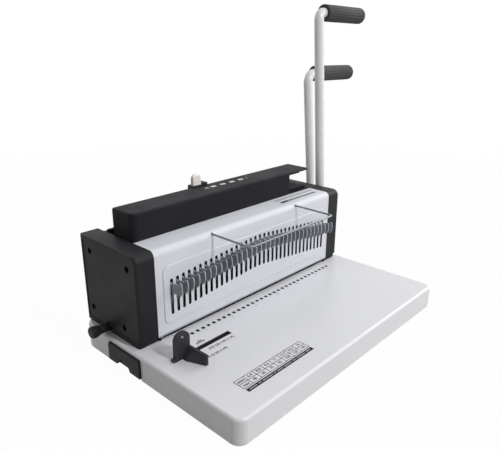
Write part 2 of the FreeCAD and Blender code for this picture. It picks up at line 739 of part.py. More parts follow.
def frame_screws():
    """Screws through the frames' foot flanges into the base."""
    head_r = 2 * FLANGE_SCREW_R
    return group([rod_z(head_r, side * flange_screw_x(), y, FRAME_T, FRAME_T + FLANGE_SCREW_R).fuse(
                  rod_z(FLANGE_SCREW_R, side * flange_screw_x(), y, -BASE_WALL - FRAME_BOSS_DEPTH, FRAME_T))
                  for side in (-1, 1) for y in FLANGE_SCREW_Y])


def hexagon(y, z, radius):
    """Corner points of a hexagon in the Y-Z plane."""
    turns = [math.radians(60 * k) for k in range(6)]
    return [(y + radius * math.cos(turn), z + radius * math.sin(turn)) for turn in turns]


def tie_rods():
    """Spacer rods between the side frames, with a hexagon nut at each end."""
    pieces = []
    stud_end = FRAME_OUT + TIE_ROD_R
    nut_end = stud_end - TIE_STUD_PROUD
    for y, z in TIE_RODS:
        stud = rod_x(TIE_STUD_R, y, z, -stud_end, stud_end)
        pieces.append(stud.fuse(rod_x(TIE_ROD_R, y, z, -FRAME_IN, FRAME_IN)))
        for side in (-1, 1):
            nut = prism_x(hexagon(y, z, 1.1 * TIE_ROD_R), side * FRAME_OUT, side * nut_end)
            pieces.append(nut.cut(rod_x(TIE_STUD_R + SEATED, y, z, side * FRAME_OUT, side * stud_end)))
    return group(pieces)


def hole_row(radius, z0, z1):
    """Cutters for the row of round holes."""
    return [rod_z(radius, x, PIN_Y, z0, z1) for x in row_places()]


def bolt_cutters(z):
    """Cutters for the bolts into both ends of a bar between the frames."""
    return [rod_x(DIE_BOLT_R + SEATED, PIN_Y, z, side * (FRAME_IN - DIE_BOLT_L), side * FRAME_IN)
            for side in (-1, 1)]


def die_plate():
    """Hardened die level with the deck, with one hole for each pin."""
    plate = block(-FRAME_IN, FRAME_IN, DIE_FRONT, DIE_BACK, -DIE_T, 0)
    return plate.cut(hole_row(HOLE_R, -DIE_T, 0) + bolt_cutters(die_bolt_heights()[0]))


def pin_guide():
    """Steel block above the throat that guides and strips the pins."""
    guide = block(-FRAME_IN, FRAME_IN, DIE_FRONT, DIE_BACK, THROAT, GUIDE_TOP)
    seats = [rod_z(POST_R + SEATED, side * POST_X, POST_Y, GUIDE_TOP - POST_SEAT, GUIDE_TOP)
             for side in (-1, 1)]
    return guide.cut(hole_row(HOLE_R, THROAT, GUIDE_TOP) + seats + bolt_cutters(die_bolt_heights()[1]))


def throat_spacers():
    """Blocks that hold the throat open at both ends of the row."""
    return group([side_block(side, FRAME_IN - SPACER_W, FRAME_IN, DIE_FRONT, DIE_BACK, 0, THROAT)
                  for side in (-1, 1)])


def die_bolts():
    """Cap screws through the side frames into the die and the pin guide."""
    bolts = []
    for side in (-1, 1):
        for z in die_bolt_heights():
            head_end = FRAME_OUT + DIE_BOLT_HEAD
            head = rod_x(1.6 * DIE_BOLT_R, PIN_Y, z, side * FRAME_OUT, side * head_end)
            shank = rod_x(DIE_BOLT_R, PIN_Y, z, side * (FRAME_IN - DIE_BOLT_L), side * FRAME_OUT)
            bolts.append(head.fuse(shank))
    return group(bolts)


def guide_posts():
    """Two posts that the ram slides on."""
    return group([rod_z(POST_R, side * POST_X, POST_Y, GUIDE_TOP - POST_SEAT, POST_TOP)
                  for side in (-1, 1)])


def post_bar():
    """Cross bar between the frames that holds the posts' upper ends."""
    bar = block(-FRAME_IN, FRAME_IN, POST_Y - POST_BAR_W / 2, POST_Y + POST_BAR_W / 2,
                POST_TOP - POST_BAR_H, POST_TOP)
    return bar.cut([rod_z(POST_R + SEATED, side * POST_X, POST_Y, POST_TOP - POST_BAR_H, POST_TOP)
                    for side in (-1, 1)])


def shaft_bushes(y, z):
    """Flanged bronze bushes for one shaft, one in each side frame."""
    bushes = []
    for side in (-1, 1):
        body = rod_x(BUSH_R, y, z, side * FRAME_IN, side * FRAME_OUT)
        flange = rod_x(BUSH_FLANGE_R, y, z, side * FRAME_OUT, side * (FRAME_OUT + BUSH_FLANGE_T))
        bore = rod_x(SHAFT_R + RUNNING, y, z, side * FRAME_IN, side * (FRAME_OUT + BUSH_FLANGE_T))
        bushes.append(joined([body, flange]).cut(bore))
    return group(bushes)


def return_springs():
    """Torsion springs round the two shafts, each turn drawn as a closed ring."""
    turns = [SPRING_X + SPRING_PITCH * index for index in range(SPRING_TURNS)]
    return group([Part.makeTorus(SPRING_R, SPRING_WIRE_R, vec(x, y, z), vec(1, 0, 0))
                  for y, z in SHAFT_AXES for x in turns])


# -------------------------------------------------------------------------- ram


def pressure_bar():
    """Bar that drives all the pins, with a slot for each hook plate."""
    bar = block(-BAR_HALF, BAR_HALF, BAR_FRONT, BAR_BACK, BAR_LOW, BAR_LOW + BAR_H)
    cutters = hole_row(HOLE_R, BAR_LOW, BAR_LOW + BAR_H)
    for x in row_places():
        low = HOOK_LOW + arch_rise(x)
        cutters.append(block(x - HOOK_T / 2 - RUNNING, x + HOOK_T / 2 + RUNNING, BAR_FRONT, PIN_Y,
                             low - RUNNING, low + HOOK_H + RUNNING))
    return bar.cut(cutters)


def punch_pins():
    """Equal pins, set highest in the middle so that few cut at a time."""
    return group([rod_z(PIN_R, x, PIN_Y, PIN_TIP_REST + arch_rise(x), PIN_TIP_REST + PIN_L + arch_rise(x))
                  for x in row_places()])


def hook_outline(low):
    """Side view of a hook plate: a level bar with a raised, nosed head."""
    top = low + HOOK_H
    relief_y = -HOOK_ROOT - HOOK_RELIEF_L
    head_y = HOOK_HEAD_LEAN - HOOK_REACH
    return [(HOOK_TAIL, low), (-HOOK_ROOT, low), (relief_y, low + HOOK_RELIEF),
            (HOOK_BELLY_L - HOOK_REACH, low + HOOK_BELLY), (HOOK_CHIN_L - HOOK_REACH, low + HOOK_CHIN),
            (HOOK_NOSE - HOOK_REACH, low + HOOK_H / 2), (-HOOK_REACH, top), (head_y, top + HOOK_HEAD),
            (head_y + HOOK_HEAD_W, top + HOOK_HEAD), (head_y + HOOK_HEAD_W + HOOK_NICK, top + HOOK_NICK),
            (-2 * HOOK_NICK, top), (-HOOK_NICK, top - HOOK_NICK), (0.0, top), (HOOK_TAIL, top)]


def release_hooks():
    """The row of thin hook plates, one on each pin."""
    return group([prism_x(hook_outline(HOOK_LOW + arch_rise(x)), x - HOOK_T / 2, x + HOOK_T / 2)
                  for x in row_places()])


def ram_lugs():
    """Bored lugs on the pressure bar's back that run on the posts."""
    lugs = []
    for side in (-1, 1):
        x = side * POST_X
        lug = block(x - LUG_W / 2, x + LUG_W / 2, BAR_BACK, POST_Y + POST_R + LUG_WALL,
                    BAR_LOW + (BAR_H - LUG_H) / 2, BAR_LOW + (BAR_H + LUG_H) / 2)
        lugs.append(lug.cut(rod_z(POST_R + RUNNING, x, POST_Y, BAR_LOW, BAR_LOW + BAR_H)))
    return group(lugs)


def ram_yokes():
    """Slotted blocks on the bar's back that the punch rollers drive."""
    slot = ROLLER_R + YOKE_PLAY
    back = PUNCH_Y - SHAFT_R - YOKE_END_GAP
    yokes = []
    for side in (-1, 1):
        x = side * YOKE_X
        body = block(x - YOKE_W / 2, x + YOKE_W / 2, BAR_BACK, back,
                     PUNCH_PIN_Z - slot - YOKE_WALL, PUNCH_PIN_Z + slot + YOKE_WALL)
        yokes.append(body.cut(block(x - YOKE_W / 2, x + YOKE_W / 2, BAR_BACK + YOKE_END_GAP, back,
                                    PUNCH_PIN_Z - slot, PUNCH_PIN_Z + slot)))
    return group(yokes)


# ------------------------------------------------------------------- both levers


def lever_shaft(y, z, plane):
    """A shaft with a head at its left end, across the tower to its lever's hub."""
    neck = -FRAME_OUT - BUSH_FLANGE_T - SLIDING
    right = plane + HUB_W / 2 + SHAFT_PROUD
    shaft = joined([rod_x(SHAFT_R, y, z, neck, right), rod_x(COLLAR_R, y, z, neck, neck - COLLAR_W)])
    ends = (neck - COLLAR_W, right)
    return shaft.makeChamfer(SHAFT_CHAMFER, [edge for edge in shaft.Edges
                                   if edge.BoundBox.XLength < 0.01
                                   and any(near(edge.BoundBox.XMin, end) for end in ends)])


def cranks(hub, pin):
    """The two crank arms of a shaft, each with its roller pin."""
    arms = []
    for side in (-1, 1):
        arm = tapered_link(side, hub, CRANK_HUB_R, pin, CRANK_EYE_R, CRANK_IN, CRANK_IN + CRANK_T)
        arm = arm.cut(rod_x(SHAFT_R + SEATED, hub[0], hub[1], side * CRANK_IN, side * (CRANK_IN + CRANK_T)))
        stub = rod_x(ROLLER_PIN_R, pin[0], pin[1], side * (CRANK_IN - YOKE_W - 2 * CRANK_GAP),
                     side * CRANK_IN)
        arms.append(arm.fuse(stub).removeSplitter())
    return group(arms)


def rollers(pin):
    """Rollers on the crank pins, inside the yokes' slots."""
    rings = []
    for side in (-1, 1):
        start = side * (CRANK_IN - CRANK_GAP)
        end = side * (CRANK_IN - YOKE_W)
        ring = rod_x(ROLLER_R, pin[0], pin[1], start, end)
        rings.append(ring.cut(rod_x(ROLLER_PIN_R + RUNNING, pin[0], pin[1], start, end)))
    return group(rings)


def lean_direction(lean):
    """Unit vector up along a lever that leans back by some degrees."""
    return vec(0, math.sin(math.radians(lean)), math.cos(math.radians(lean)))


def ahead_of(lean):
    """Unit vector forward, square to a lever that leans back by some degrees."""
    return vec(0, -math.cos(math.radians(lean)), math.sin(math.radians(lean)))


def lever_hub(y, z, plane, lean):
    """Hub on the shaft's end with a socket for the lever's tube."""
    up = lean_direction(lean)
    pivot = vec(plane, y, z)
    ends = (plane - HUB_W / 2, plane + HUB_W / 2)
    barrel = rod_x(HUB_R, y, z, *ends)
    socket = rod(SOCKET_R, pivot, pivot + up * SOCKET_TOP)
    hub = joined([barrel, socket])
    hub = fillet(hub, HUB_EDGE_R, lambda e: e.BoundBox.XLength < 0.01
                 and any(near(e.BoundBox.XMin, end) for end in ends))
    hub = fillet(hub, HUB_EDGE_R, lambda e: e.BoundBox.ZMin > (pivot + up * SOCKET_TOP).z - SOCKET_R
                 and e.BoundBox.XLength > 1.9 * SOCKET_R)
    screw_axis = pivot + up * HUB_SCREW_UP
    cutters = [rod_x(SHAFT_R + SEATED, y, z, *ends),
               rod(TUBE_R + SEATED, pivot + up * TUBE_FOOT, pivot + up * (SOCKET_TOP + 1)),
               rod(HUB_SCREW_R + SEATED, screw_axis, screw_axis + ahead_of(lean) * (2 * SOCKET_R))]
    return hub.cut(cutters)


def hub_screw(y, z, plane, lean):
    """Screw that clamps the tube in its socket, from the front."""
    centre = vec(plane, y, z) + lean_direction(lean) * HUB_SCREW_UP
    ahead = ahead_of(lean)
    seat = centre + ahead * (TUBE_R + 2 * SEATED)
    neck = centre + ahead * SOCKET_R
    return rod(1.6 * HUB_SCREW_R, neck, neck + ahead * HUB_SCREW_HEAD).fuse(rod(HUB_SCREW_R, seat, neck))


def lever_corner(y, z, plane, lean, reach, bend_r):
    """The bend of a lever's tube: start, middle and end of its arc."""
    up = lean_direction(lean)
    droop = math.radians(GRIP_DROOP)
    out = vec(1, 0, 0) * math.cos(droop) - up * math.sin(droop)
    corner = vec(plane, y, z) + up * reach
    tangent = bend_r * math.tan((math.pi / 2 + droop) / 2)
    first = corner - up * tangent
    centre = first + vec(1, 0, 0) * bend_r
    middle = centre + (corner - centre) * (bend_r / (corner - centre).Length)
    return first, middle, corner + out * tangent, out


def lever_tube(y, z, plane, lean, reach, bend_r, gap):
    """Steel tube from the hub, bent to carry the grip."""
    up = lean_direction(lean)
    first, middle, last, out = lever_corner(y, z, plane, lean, reach, bend_r)
    foot = vec(plane, y, z) + up * TUBE_FOOT
    tip = last + out * (gap + GRIP_L - GRIP_END_WALL)
    path = Part.Wire([Part.makeLine(foot, first), Part.Arc(first, middle, last).toShape(),
                      Part.makeLine(last, tip)])
    walls = []
    for radius in (TUBE_R, TUBE_R - TUBE_WALL):
        ring = Part.Wire([Part.Circle(foot, up, radius).toShape()])
        walls.append(path.makePipeShell([ring], True, False))
    return walls[0].cut(walls[1])


def lever_grip(y, z, plane, lean, reach, bend_r, gap):
    """Fluted grip with a domed outer end, pushed over the tube."""
    last, out = lever_corner(y, z, plane, lean, reach, bend_r)[2:]
    start = last + out * gap
    grip = rod(GRIP_R, start, start + out * GRIP_L)
    grip = grip.makeFillet(GRIP_DOME_R, [max(grip.Edges, key=lambda edge: edge.BoundBox.XMin)])
    grip = grip.makeFillet(GRIP_EDGE_R, [min(grip.Edges, key=lambda edge: edge.BoundBox.XMax)])
    across = out.cross(vec(0, 1, 0))
    across.normalize()
    other = out.cross(across)
    cutters = [rod(TUBE_R + SEATED, start, start + out * (GRIP_L - GRIP_END_WALL))]
    for index in range(FLUTES):
        angle = 2 * math.pi * index / FLUTES
        radial = across * math.cos(angle) + other * math.sin(angle)
        line = start + radial * (GRIP_R + FLUTE_R / 2)
        cutters.append(rod(FLUTE_R, line, line + out * GRIP_L))
    return grip.cut(cutters)


def closing_spacer():
    """Sleeve on the closing shaft between the end cover and the outer hub."""
    start = COVER_OUT + SLIDING
    end = CLOSE_PLANE - HUB_W / 2
    sleeve = rod_x(COLLAR_R, CLOSE_Y, CLOSE_Z, start, end)
    return sleeve.cut(rod_x(SHAFT_R + SEATED, CLOSE_Y, CLOSE_Z, start, end))


# -------------------------------------------------------------------- press bar


def press_bar():
    """Flat bar on top of the tower, grooved for the wire and notched at its rear corners."""
    bar = block(-PRESS_HALF, PRESS_HALF, PRESS_FRONT, PRESS_BACK, PRESS_LOW, PRESS_LOW + PRESS_T)
    groove = rod_x(PRESS_GROOVE_R, PRESS_GROOVE_Y, PRESS_LOW + PRESS_T + PRESS_GROOVE_R / 2,
                   -PRESS_HALF, PRESS_HALF)
    notches = [side_block(side, PRESS_HALF - PRESS_NOTCH, PRESS_HALF, HOOD_BACK, PRESS_BACK,
                          PRESS_LOW, PRESS_LOW + PRESS_T) for side in (-1, 1)]
    return bar.cut([groove] + notches)


def press_web():
    """Upright plate below the press bar, with slotted yokes for the closing rollers."""
    slot = ROLLER_R + YOKE_PLAY
    front = CLOSE_Y + SHAFT_R + YOKE_END_GAP
    pieces = [block(-WEB_HALF, WEB_HALF, WEB_FRONT, PRESS_BACK, WEB_LOW, PRESS_LOW)]
    slots = []
    for side in (-1, 1):
        x = side * YOKE_X
        ends = (x - YOKE_W / 2, x + YOKE_W / 2)
        pieces.append(block(*ends, front, WEB_FRONT, CLOSE_PIN_Z - PRESS_YOKE_H / 2,
                            CLOSE_PIN_Z + PRESS_YOKE_H / 2))
        slots.append(block(*ends, front, WEB_FRONT - YOKE_END_GAP, CLOSE_PIN_Z - slot, CLOSE_PIN_Z + slot))
    return joined(pieces).cut(slots)


def press_gibs():
    """Grooved guides on the side frames for the web's ends."""
    gibs = []
    middle = WEB_FRONT + WEB_T / 2
    for side in (-1, 1):
        body = side_block(side, FRAME_IN - GIB_W, FRAME_IN, middle - GIB_D / 2, middle + GIB_D / 2,
                          GIB_LOW, GIB_TOP)
        groove = side_block(side, FRAME_IN - GIB_W, WEB_HALF + SLIDING, WEB_FRONT - SLIDING,
                            PRESS_BACK + SLIDING, GIB_LOW, GIB_TOP)
        gibs.append(body.cut(groove))
    return group(gibs)


def closing_anvil():
    """Grooved steel bar under the hood that the press bar closes against."""
    top = HOOD_TOP - HOOD_T
    anvil = block(-PRESS_HALF + SLIDING, HOOD_RIGHT - HOOD_T, ANVIL_FRONT, ANVIL_FRONT + ANVIL_D,
                  top - ANVIL_T, top)
    return anvil.cut(rod_x(PRESS_GROOVE_R, PRESS_GROOVE_Y, top - ANVIL_T - PRESS_GROOVE_R / 2,
                           -PRESS_HALF, HOOD_RIGHT))


# --------------------------------------------------------------- covers and hood


def panel_section():
    """Closed outline of the front panel's sheet, in its Y-Z plane."""
    bend = vec(-PANEL_HALF, PANEL_BEND_R, PANEL_TOP - PANEL_BEND_R)

    def corner(y, z):
        return vec(-PANEL_HALF, y, z)

    def arc(radius, first, last):
        slant = radius * math.sqrt(0.5)
        return Part.Arc(first, bend + vec(0, -slant, slant), last).toShape()

    inner_r = PANEL_BEND_R - PANEL_T
    outer_low = corner(0, PANEL_LOW)
    outer_bend = corner(0, bend.z)
    outer_top = corner(PANEL_BEND_R, PANEL_TOP)
    back_top = corner(PANEL_BACK, PANEL_TOP)
    back_low = corner(PANEL_BACK, PANEL_TOP - PANEL_LIP)
    lip_low = corner(PANEL_BACK - PANEL_T, PANEL_TOP - PANEL_LIP)
    lip_top = corner(PANEL_BACK - PANEL_T, PANEL_TOP - PANEL_T)
    inner_top = corner(PANEL_BEND_R, PANEL_TOP - PANEL_T)
    inner_bend = corner(PANEL_T, bend.z)
    inner_low = corner(PANEL_T, PANEL_LOW)
    line = Part.makeLine
    return Part.Wire([
        line(outer_low, outer_bend), arc(PANEL_BEND_R, outer_bend, outer_top), line(outer_top, back_top),
        line(back_top, back_low), line(back_low, lip_low), line(lip_low, lip_top),
        line(lip_top, inner_top), arc(inner_r, inner_top, inner_bend), line(inner_bend, inner_low),
        line(inner_low, outer_low)])


def front_panel():
    """White sheet front and top, embossed, with a slot for each hook."""
    sheet = Part.Face(panel_section()).extrude(vec(2 * PANEL_HALF, 0, 0))
    emboss = block(-EMBOSS_HALF, EMBOSS_HALF, -EMBOSS_T, 0, EMBOSS_LOW, EMBOSS_TOP)
    emboss = fillet(emboss, EMBOSS_R, lambda e: spans(e, "y"))
    emboss = fillet(emboss, EMBOSS_T * 0.8, lambda e: near(e.BoundBox.YMax, -EMBOSS_T))
    hollow = block(PANEL_T - EMBOSS_HALF, EMBOSS_HALF - PANEL_T, PANEL_T - EMBOSS_T, PANEL_T,
                   EMBOSS_LOW + PANEL_T, EMBOSS_TOP - PANEL_T)
    hollow = fillet(hollow, EMBOSS_R - PANEL_T, lambda e: spans(e, "y"))
    panel = joined([sheet, emboss])
    cutters = [stadium(x, SLOT_LOW + arch_rise(x), SLOT_L, SLOT_W, -EMBOSS_T, PANEL_T) for x in row_places()]
    cutters.append(hollow)
    cutters += [rod(RACK_WIRE_R + SLIDING, vec(x, 0, RACK_Z), vec(x, PANEL_BACK, RACK_Z))
                for x in rack_places()]
    cutters += [rod(HOOD_SCREW_R + RUNNING, vec(x, PANEL_BACK - PANEL_T, HOOD_SCREW_Z),
                    vec(x, PANEL_BACK, HOOD_SCREW_Z)) for x in HOOD_SCREW_X]
    return panel.cut(cutters)


def cover_profile(x, inset):
    """Side view of an end cover with a round nose and a stepped-back foot."""
    front = COVER_FRONT + inset
    top = COVER_TOP - inset
    nose = COVER_NOSE_R - inset
    back = COVER_BACK - inset
    step_y = COVER_STEP_Y + inset
    low = COVER_LOW - (1 if inset else 0)
    slant = nose * (1 - math.sqrt(0.5))
    arc = Part.Arc(vec(x, front, top - nose), vec(x, front + slant, top - slant), vec(x, front + nose, top))
    corners = [(front + nose, top), (back, top), (back, low), (step_y, low),
               (step_y, COVER_STEP_Z + inset), (front, COVER_STEP_Z + inset), (front, top - nose)]
    edges = [Part.makeLine(vec(x, *a), vec(x, *b)) for a, b in zip(corners, corners[1:])]
    return Part.Face(Part.Wire([arc.toShape()] + edges))


def end_cover(side):
    """Black moulded cover over one side frame, open below and inwards."""
    outer = cover_profile(side * COVER_IN, 0).extrude(vec(side * COVER_DEPTH, 0, 0))
    outer = fillet(outer, COVER_EDGE_R, lambda e: near(abs(e.BoundBox.XMin), COVER_OUT)
                   and near(abs(e.BoundBox.XMax), COVER_OUT) and e.BoundBox.ZMax > COVER_LOW + 0.01)
    inner = cover_profile(side * COVER_IN, COVER_WALL).extrude(vec(side * (COVER_DEPTH - COVER_WALL), 0, 0))
    recess = block(0, RECESS_DEPTH, COVER_FRONT + RECESS_MARGIN, COVER_BACK - RECESS_MARGIN,
                   COVER_LOW + RECESS_MARGIN, COVER_TOP - RECESS_MARGIN)
    recess = fillet(recess, RECESS_R, lambda e: spans(e, "x"))
    recess.translate(vec(COVER_OUT - RECESS_DEPTH if side > 0 else -COVER_OUT, 0, 0))
    wall = COVER_OUT - COVER_WALL / 2
    bosses = [rod_x(COVER_BOSS_R, y, z, side * FRAME_OUT, side * wall) for y, z in COVER_HOLES]
    cover = joined([outer.cut(inner)] + bosses)
    cutters = [recess]
    for y, z in COVER_HOLES:
        cutters.append(rod_x(COVER_HOLE_R, y, z, side * (FRAME_OUT + COVER_BOSS_FLOOR), side * COVER_OUT))
        cutters.append(rod_x(COVER_SCREW_R + RUNNING, y, z, side * FRAME_OUT, side * COVER_OUT))
    if side > 0:
        cutters += [rod_x(SHAFT_R + 1, y, z, wall - COVER_WALL, COVER_OUT) for y, z in SHAFT_AXES]
    else:
        cutters.append(rod_x(MARGIN_SHAFT_R + SLIDING, MARGIN_Y, MARGIN_Z, COVER_WALL - wall, -COVER_OUT))
    return cover.cut(cutters)


def cover_screws():
    """Screws deep in the end covers' holes, into the side frames."""
    screws = []
    seat = FRAME_OUT + COVER_BOSS_FLOOR
    for side in (-1, 1):
        for y, z in COVER_HOLES:
            head = rod_x(COVER_SCREW_HEAD_R, y, z, side * seat, side * (seat + COVER_SCREW_R))
            shank = rod_x(COVER_SCREW_R, y, z, side * FRAME_IN, side * seat)
            screws.append(head.fuse(shank))
    return group(screws)


def rear_cover():
    """Sheet that closes the tower's back."""
    return block(-PANEL_HALF, PANEL_HALF, FRAME_BACK, FRAME_BACK + REAR_COVER_T, COVER_LOW, FRAME_TOP)


def top_hood():
    """Black hood: a top plate, a front wall with an end gap, and a left wall."""
    shell = block(HOOD_LEFT, -HOOD_LEFT, HOOD_FRONT, HOOD_BACK, HOOD_LOW, HOOD_TOP)
    shell = fillet(shell, HOOD_CORNER_R, lambda e: spans(e, "z") and near(e.BoundBox.XMin, HOOD_LEFT)
                   and near(e.BoundBox.YMin, HOOD_FRONT))
    shell = fillet(shell, HOOD_EDGE_R, lambda e: near(e.BoundBox.ZMin, HOOD_TOP)
                   and not spans(e, "y") and not near(e.BoundBox.YMin, HOOD_BACK)
                   or spans(e, "y") and near(e.BoundBox.ZMin, HOOD_TOP) and near(e.BoundBox.XMax, HOOD_LEFT))
    wall_back = HOOD_FRONT + HOOD_T
    wall_right = HOOD_LEFT + HOOD_T
    inside = block(wall_right, -HOOD_LEFT, wall_back, HOOD_BACK, HOOD_LOW, HOOD_TOP - HOOD_T)
    inside = fillet(inside, HOOD_CORNER_R - HOOD_T, lambda e: spans(e, "z")
                    and near(e.BoundBox.XMin, wall_right) and near(e.BoundBox.YMin, wall_back))
    cutters = [inside,
               block(HOOD_GAP_LEFT, -HOOD_LEFT, HOOD_FRONT, wall_back, HOOD_GAP_LOW, HOOD_TOP - HOOD_T),
               block(HOOD_RIGHT, -HOOD_LEFT, HOOD_FRONT, HOOD_BACK, HOOD_GAP_LOW, HOOD_TOP),
               block(HOOD_LEFT, wall_right + HOOD_CORNER_R, wall_back, HOOD_BACK, HOOD_LOW, PRESS_LOW)]
    cutters += [block(x - 2 * RACK_WIRE_R, x + 2 * RACK_WIRE_R, HOOD_FRONT, wall_back, HOOD_LOW, PRESS_LOW)
                for x in rack_places()]
    cutters += [rod(HOOD_SCREW_R + RUNNING, vec(x, HOOD_FRONT, HOOD_SCREW_Z), vec(x, wall_back, HOOD_SCREW_Z))
                for x in HOOD_SCREW_X]
    return shell.cut(cutters)


def hood_screws():
    """Screws that hold the hood's wall to the panel's rear lip."""
    screws = []
    back = HOOD_FRONT + HOOD_T
    for x in HOOD_SCREW_X:
        shank = rod(HOOD_SCREW_R, vec(x, PANEL_BACK - PANEL_T - 1, HOOD_SCREW_Z), vec(x, back, HOOD_SCREW_Z))
        head = rod(1.8 * HOOD_SCREW_R, vec(x, back, HOOD_SCREW_Z),
                   vec(x, back + 0.9 * HOOD_SCREW_R, HOOD_SCREW_Z))
        screws.append(head.fuse(shank))
    return group(screws)


# ------------------------------------------------- slider, rack, margin and guide


def slider_top():
    """Height of the slider's upper face, above the hood."""
    return HOOD_TOP + SLIDING + SLIDER_RISE


def size_slider():
    """Black clip that slides along the hood's rear edge."""
    right = SLIDER_LEFT + SLIDER_W
    plate_low = HOOD_TOP - HOOD_T
    back = HOOD_BACK + SLIDING + SLIDER_REAR
    front = HOOD_BACK - SLIDER_DEPTH
    lug_top = slider_top() + SLIDER_LUG_H
    body = block(SLIDER_LEFT, right, front, back, plate_low - SLIDING - SLIDER_JAW, slider_top())
    lug = block(right - SLIDER_LUG_W, right, HOOD_BACK - SLIDER_LAP, back, slider_top(), lug_top)
    lug = fillet(lug, SLIDER_LUG_H * 0.8, lambda e: spans(e, "y") and near(e.BoundBox.ZMin, lug_top))
    body = fillet(body, SLIDER_EDGE_R, lambda e: spans(e, "y"))
    throat = block(SLIDER_LEFT, right, front, HOOD_BACK + SLIDING, plate_low - SLIDING, HOOD_TOP + SLIDING)
    open_top = block(SLIDER_LEFT, right, front, HOOD_BACK - SLIDER_LAP, HOOD_TOP, slider_top())
    return joined([body, lug]).cut([throat, open_top])


def size_knob():
    """White thumb piece on the slider."""
    left = SLIDER_LEFT + KNOB_LEFT
    back = HOOD_BACK + KNOB_D
    top = slider_top() + KNOB_H
    knob = block(left, left + KNOB_W, HOOD_BACK, back, slider_top(), top)
    knob = fillet(knob, KNOB_W * 0.42, lambda e: spans(e, "y") and near(e.BoundBox.ZMin, top))
    return fillet(knob, KNOB_EDGE_R, lambda e: e.BoundBox.ZMax > slider_top() + 0.1
                  and (near(e.BoundBox.YMax, HOOD_BACK) or near(e.BoundBox.YMin, back)))


def size_stop():
    """Steel stop under the slider that the press bar meets."""
    low = HOOD_TOP - HOOD_T - SLIDING - SLIDER_JAW
    front = ANVIL_FRONT + ANVIL_D + SLIDING
    left = SLIDER_LEFT + SIZE_STOP_INSET
    right = SLIDER_LEFT + SLIDER_W - SIZE_STOP_INSET
    return block(left, right, front, HOOD_BACK, low - SIZE_STOP_H, low)


def wire_rack():
    """Bright wire frame that slides out of the panel to hang wires on."""
    front = -RACK_REACH
    tail = RACK_GUIDE_FRONT + RACK_GUIDE_L + RACK_TAIL
    bend = RACK_CORNER_R
    slant = bend * (1 - math.sqrt(0.5))
    left, right = rack_places()
    points = [vec(left, tail, RACK_Z), vec(left, front + bend, RACK_Z),
              vec(left + slant, front + slant, RACK_Z), vec(left + bend, front, RACK_Z),
              vec(right - bend, front, RACK_Z), vec(right - slant, front + slant, RACK_Z),
              vec(right, front + bend, RACK_Z), vec(right, tail, RACK_Z)]
    path = Part.Wire([
        Part.makeLine(points[0], points[1]), Part.Arc(points[1], points[2], points[3]).toShape(),
        Part.makeLine(points[3], points[4]), Part.Arc(points[4], points[5], points[6]).toShape(),
        Part.makeLine(points[6], points[7])])
    section = Part.Wire([Part.Circle(points[0], vec(0, 1, 0), RACK_WIRE_R).toShape()])
    return path.makePipeShell([section], True, False)


def rack_guides():
    """Guide blocks for the rack's two arms, under the panel's top."""
    blocks = []
    top = PANEL_TOP - PANEL_T
    for x in rack_places():
        body = block(x - RACK_GUIDE_W / 2, x + RACK_GUIDE_W / 2, RACK_GUIDE_FRONT,
                     RACK_GUIDE_FRONT + RACK_GUIDE_L, top - RACK_GUIDE_H, top)
        blocks.append(body.cut(rod(RACK_WIRE_R + RUNNING, vec(x, RACK_GUIDE_FRONT, RACK_Z),
                                   vec(x, RACK_GUIDE_FRONT + RACK_GUIDE_L, RACK_Z))))
    return group(blocks)


def margin_shaft_tip():
    """X where the margin shaft ends inside its knob."""
    return -COVER_OUT - MARGIN_END_GAP / 2


def margin_shaft():
    """Short shaft with the eccentric that moves the depth stop."""
    cam_end = -STOP_HALF - MARGIN_END_GAP
    shaft = rod_x(MARGIN_SHAFT_R, MARGIN_Y, MARGIN_Z, margin_shaft_tip(), cam_end - MARGIN_CAM_W)
    cam = rod_x(MARGIN_CAM_R, MARGIN_Y - MARGIN_THROW, MARGIN_Z, cam_end - MARGIN_CAM_W, cam_end)
    return joined([shaft, cam])


def margin_knob():
    """Black flared knob at the machine's left side."""
    face = -COVER_OUT - SLIDING
    rim = -COVER_OUT - MARGIN_KNOB_L
    tip = margin_shaft_tip()
    outline = [(face, MARGIN_SHAFT_R), (face, MARGIN_KNOB_NECK_R),
               (rim + 2 * MARGIN_KNOB_RIM, MARGIN_KNOB_NECK_R), (rim + MARGIN_KNOB_RIM, MARGIN_KNOB_R),
               (rim, MARGIN_KNOB_R), (rim, 0), (tip, 0), (tip, MARGIN_SHAFT_R)]
    corners = [vec(x, MARGIN_Y, MARGIN_Z + r) for x, r in outline]
    half = Part.Face(Part.makePolygon(corners + corners[:1]))
    knob = half.revolve(vec(0, MARGIN_Y, MARGIN_Z), vec(1, 0, 0), 360)
    return fillet(knob, MARGIN_KNOB_EDGE_R, lambda e: near(e.BoundBox.XMin, rim)
                  and near(e.BoundBox.XMax, rim))


def depth_stop():
    """Plate in the throat that the paper meets, moved by the eccentric."""
    low = (THROAT - STOP_T) / 2
    cam_y = MARGIN_Y - MARGIN_THROW
    gap = MARGIN_CAM_R + MARGIN_PLAY
    fork_x = (-STOP_HALF - MARGIN_CAM_W - STOP_PRONG_GAP, -STOP_HALF - STOP_PRONG_GAP)
    top = MARGIN_Z + MARGIN_CAM_R + MARGIN_THROW + MARGIN_PLAY
    plate = block(-STOP_HALF, STOP_HALF, STOP_FRONT, cam_y - gap, low, low + STOP_T)
    tail = block(fork_x[0], -STOP_HALF, DIE_BACK + SLIDING, cam_y - gap, low, low + STOP_T)
    front_prong = block(*fork_x, cam_y - gap - STOP_PRONG_T, cam_y - gap, low, top)
    rear_prong = block(*fork_x, cam_y + gap, cam_y + gap + STOP_PRONG_T, low, top)
    bridge = block(*fork_x, cam_y - gap - STOP_PRONG_T, cam_y + gap + STOP_PRONG_T, top, top + STOP_PRONG_T)
    return joined([plate, tail, front_prong, rear_prong, bridge])


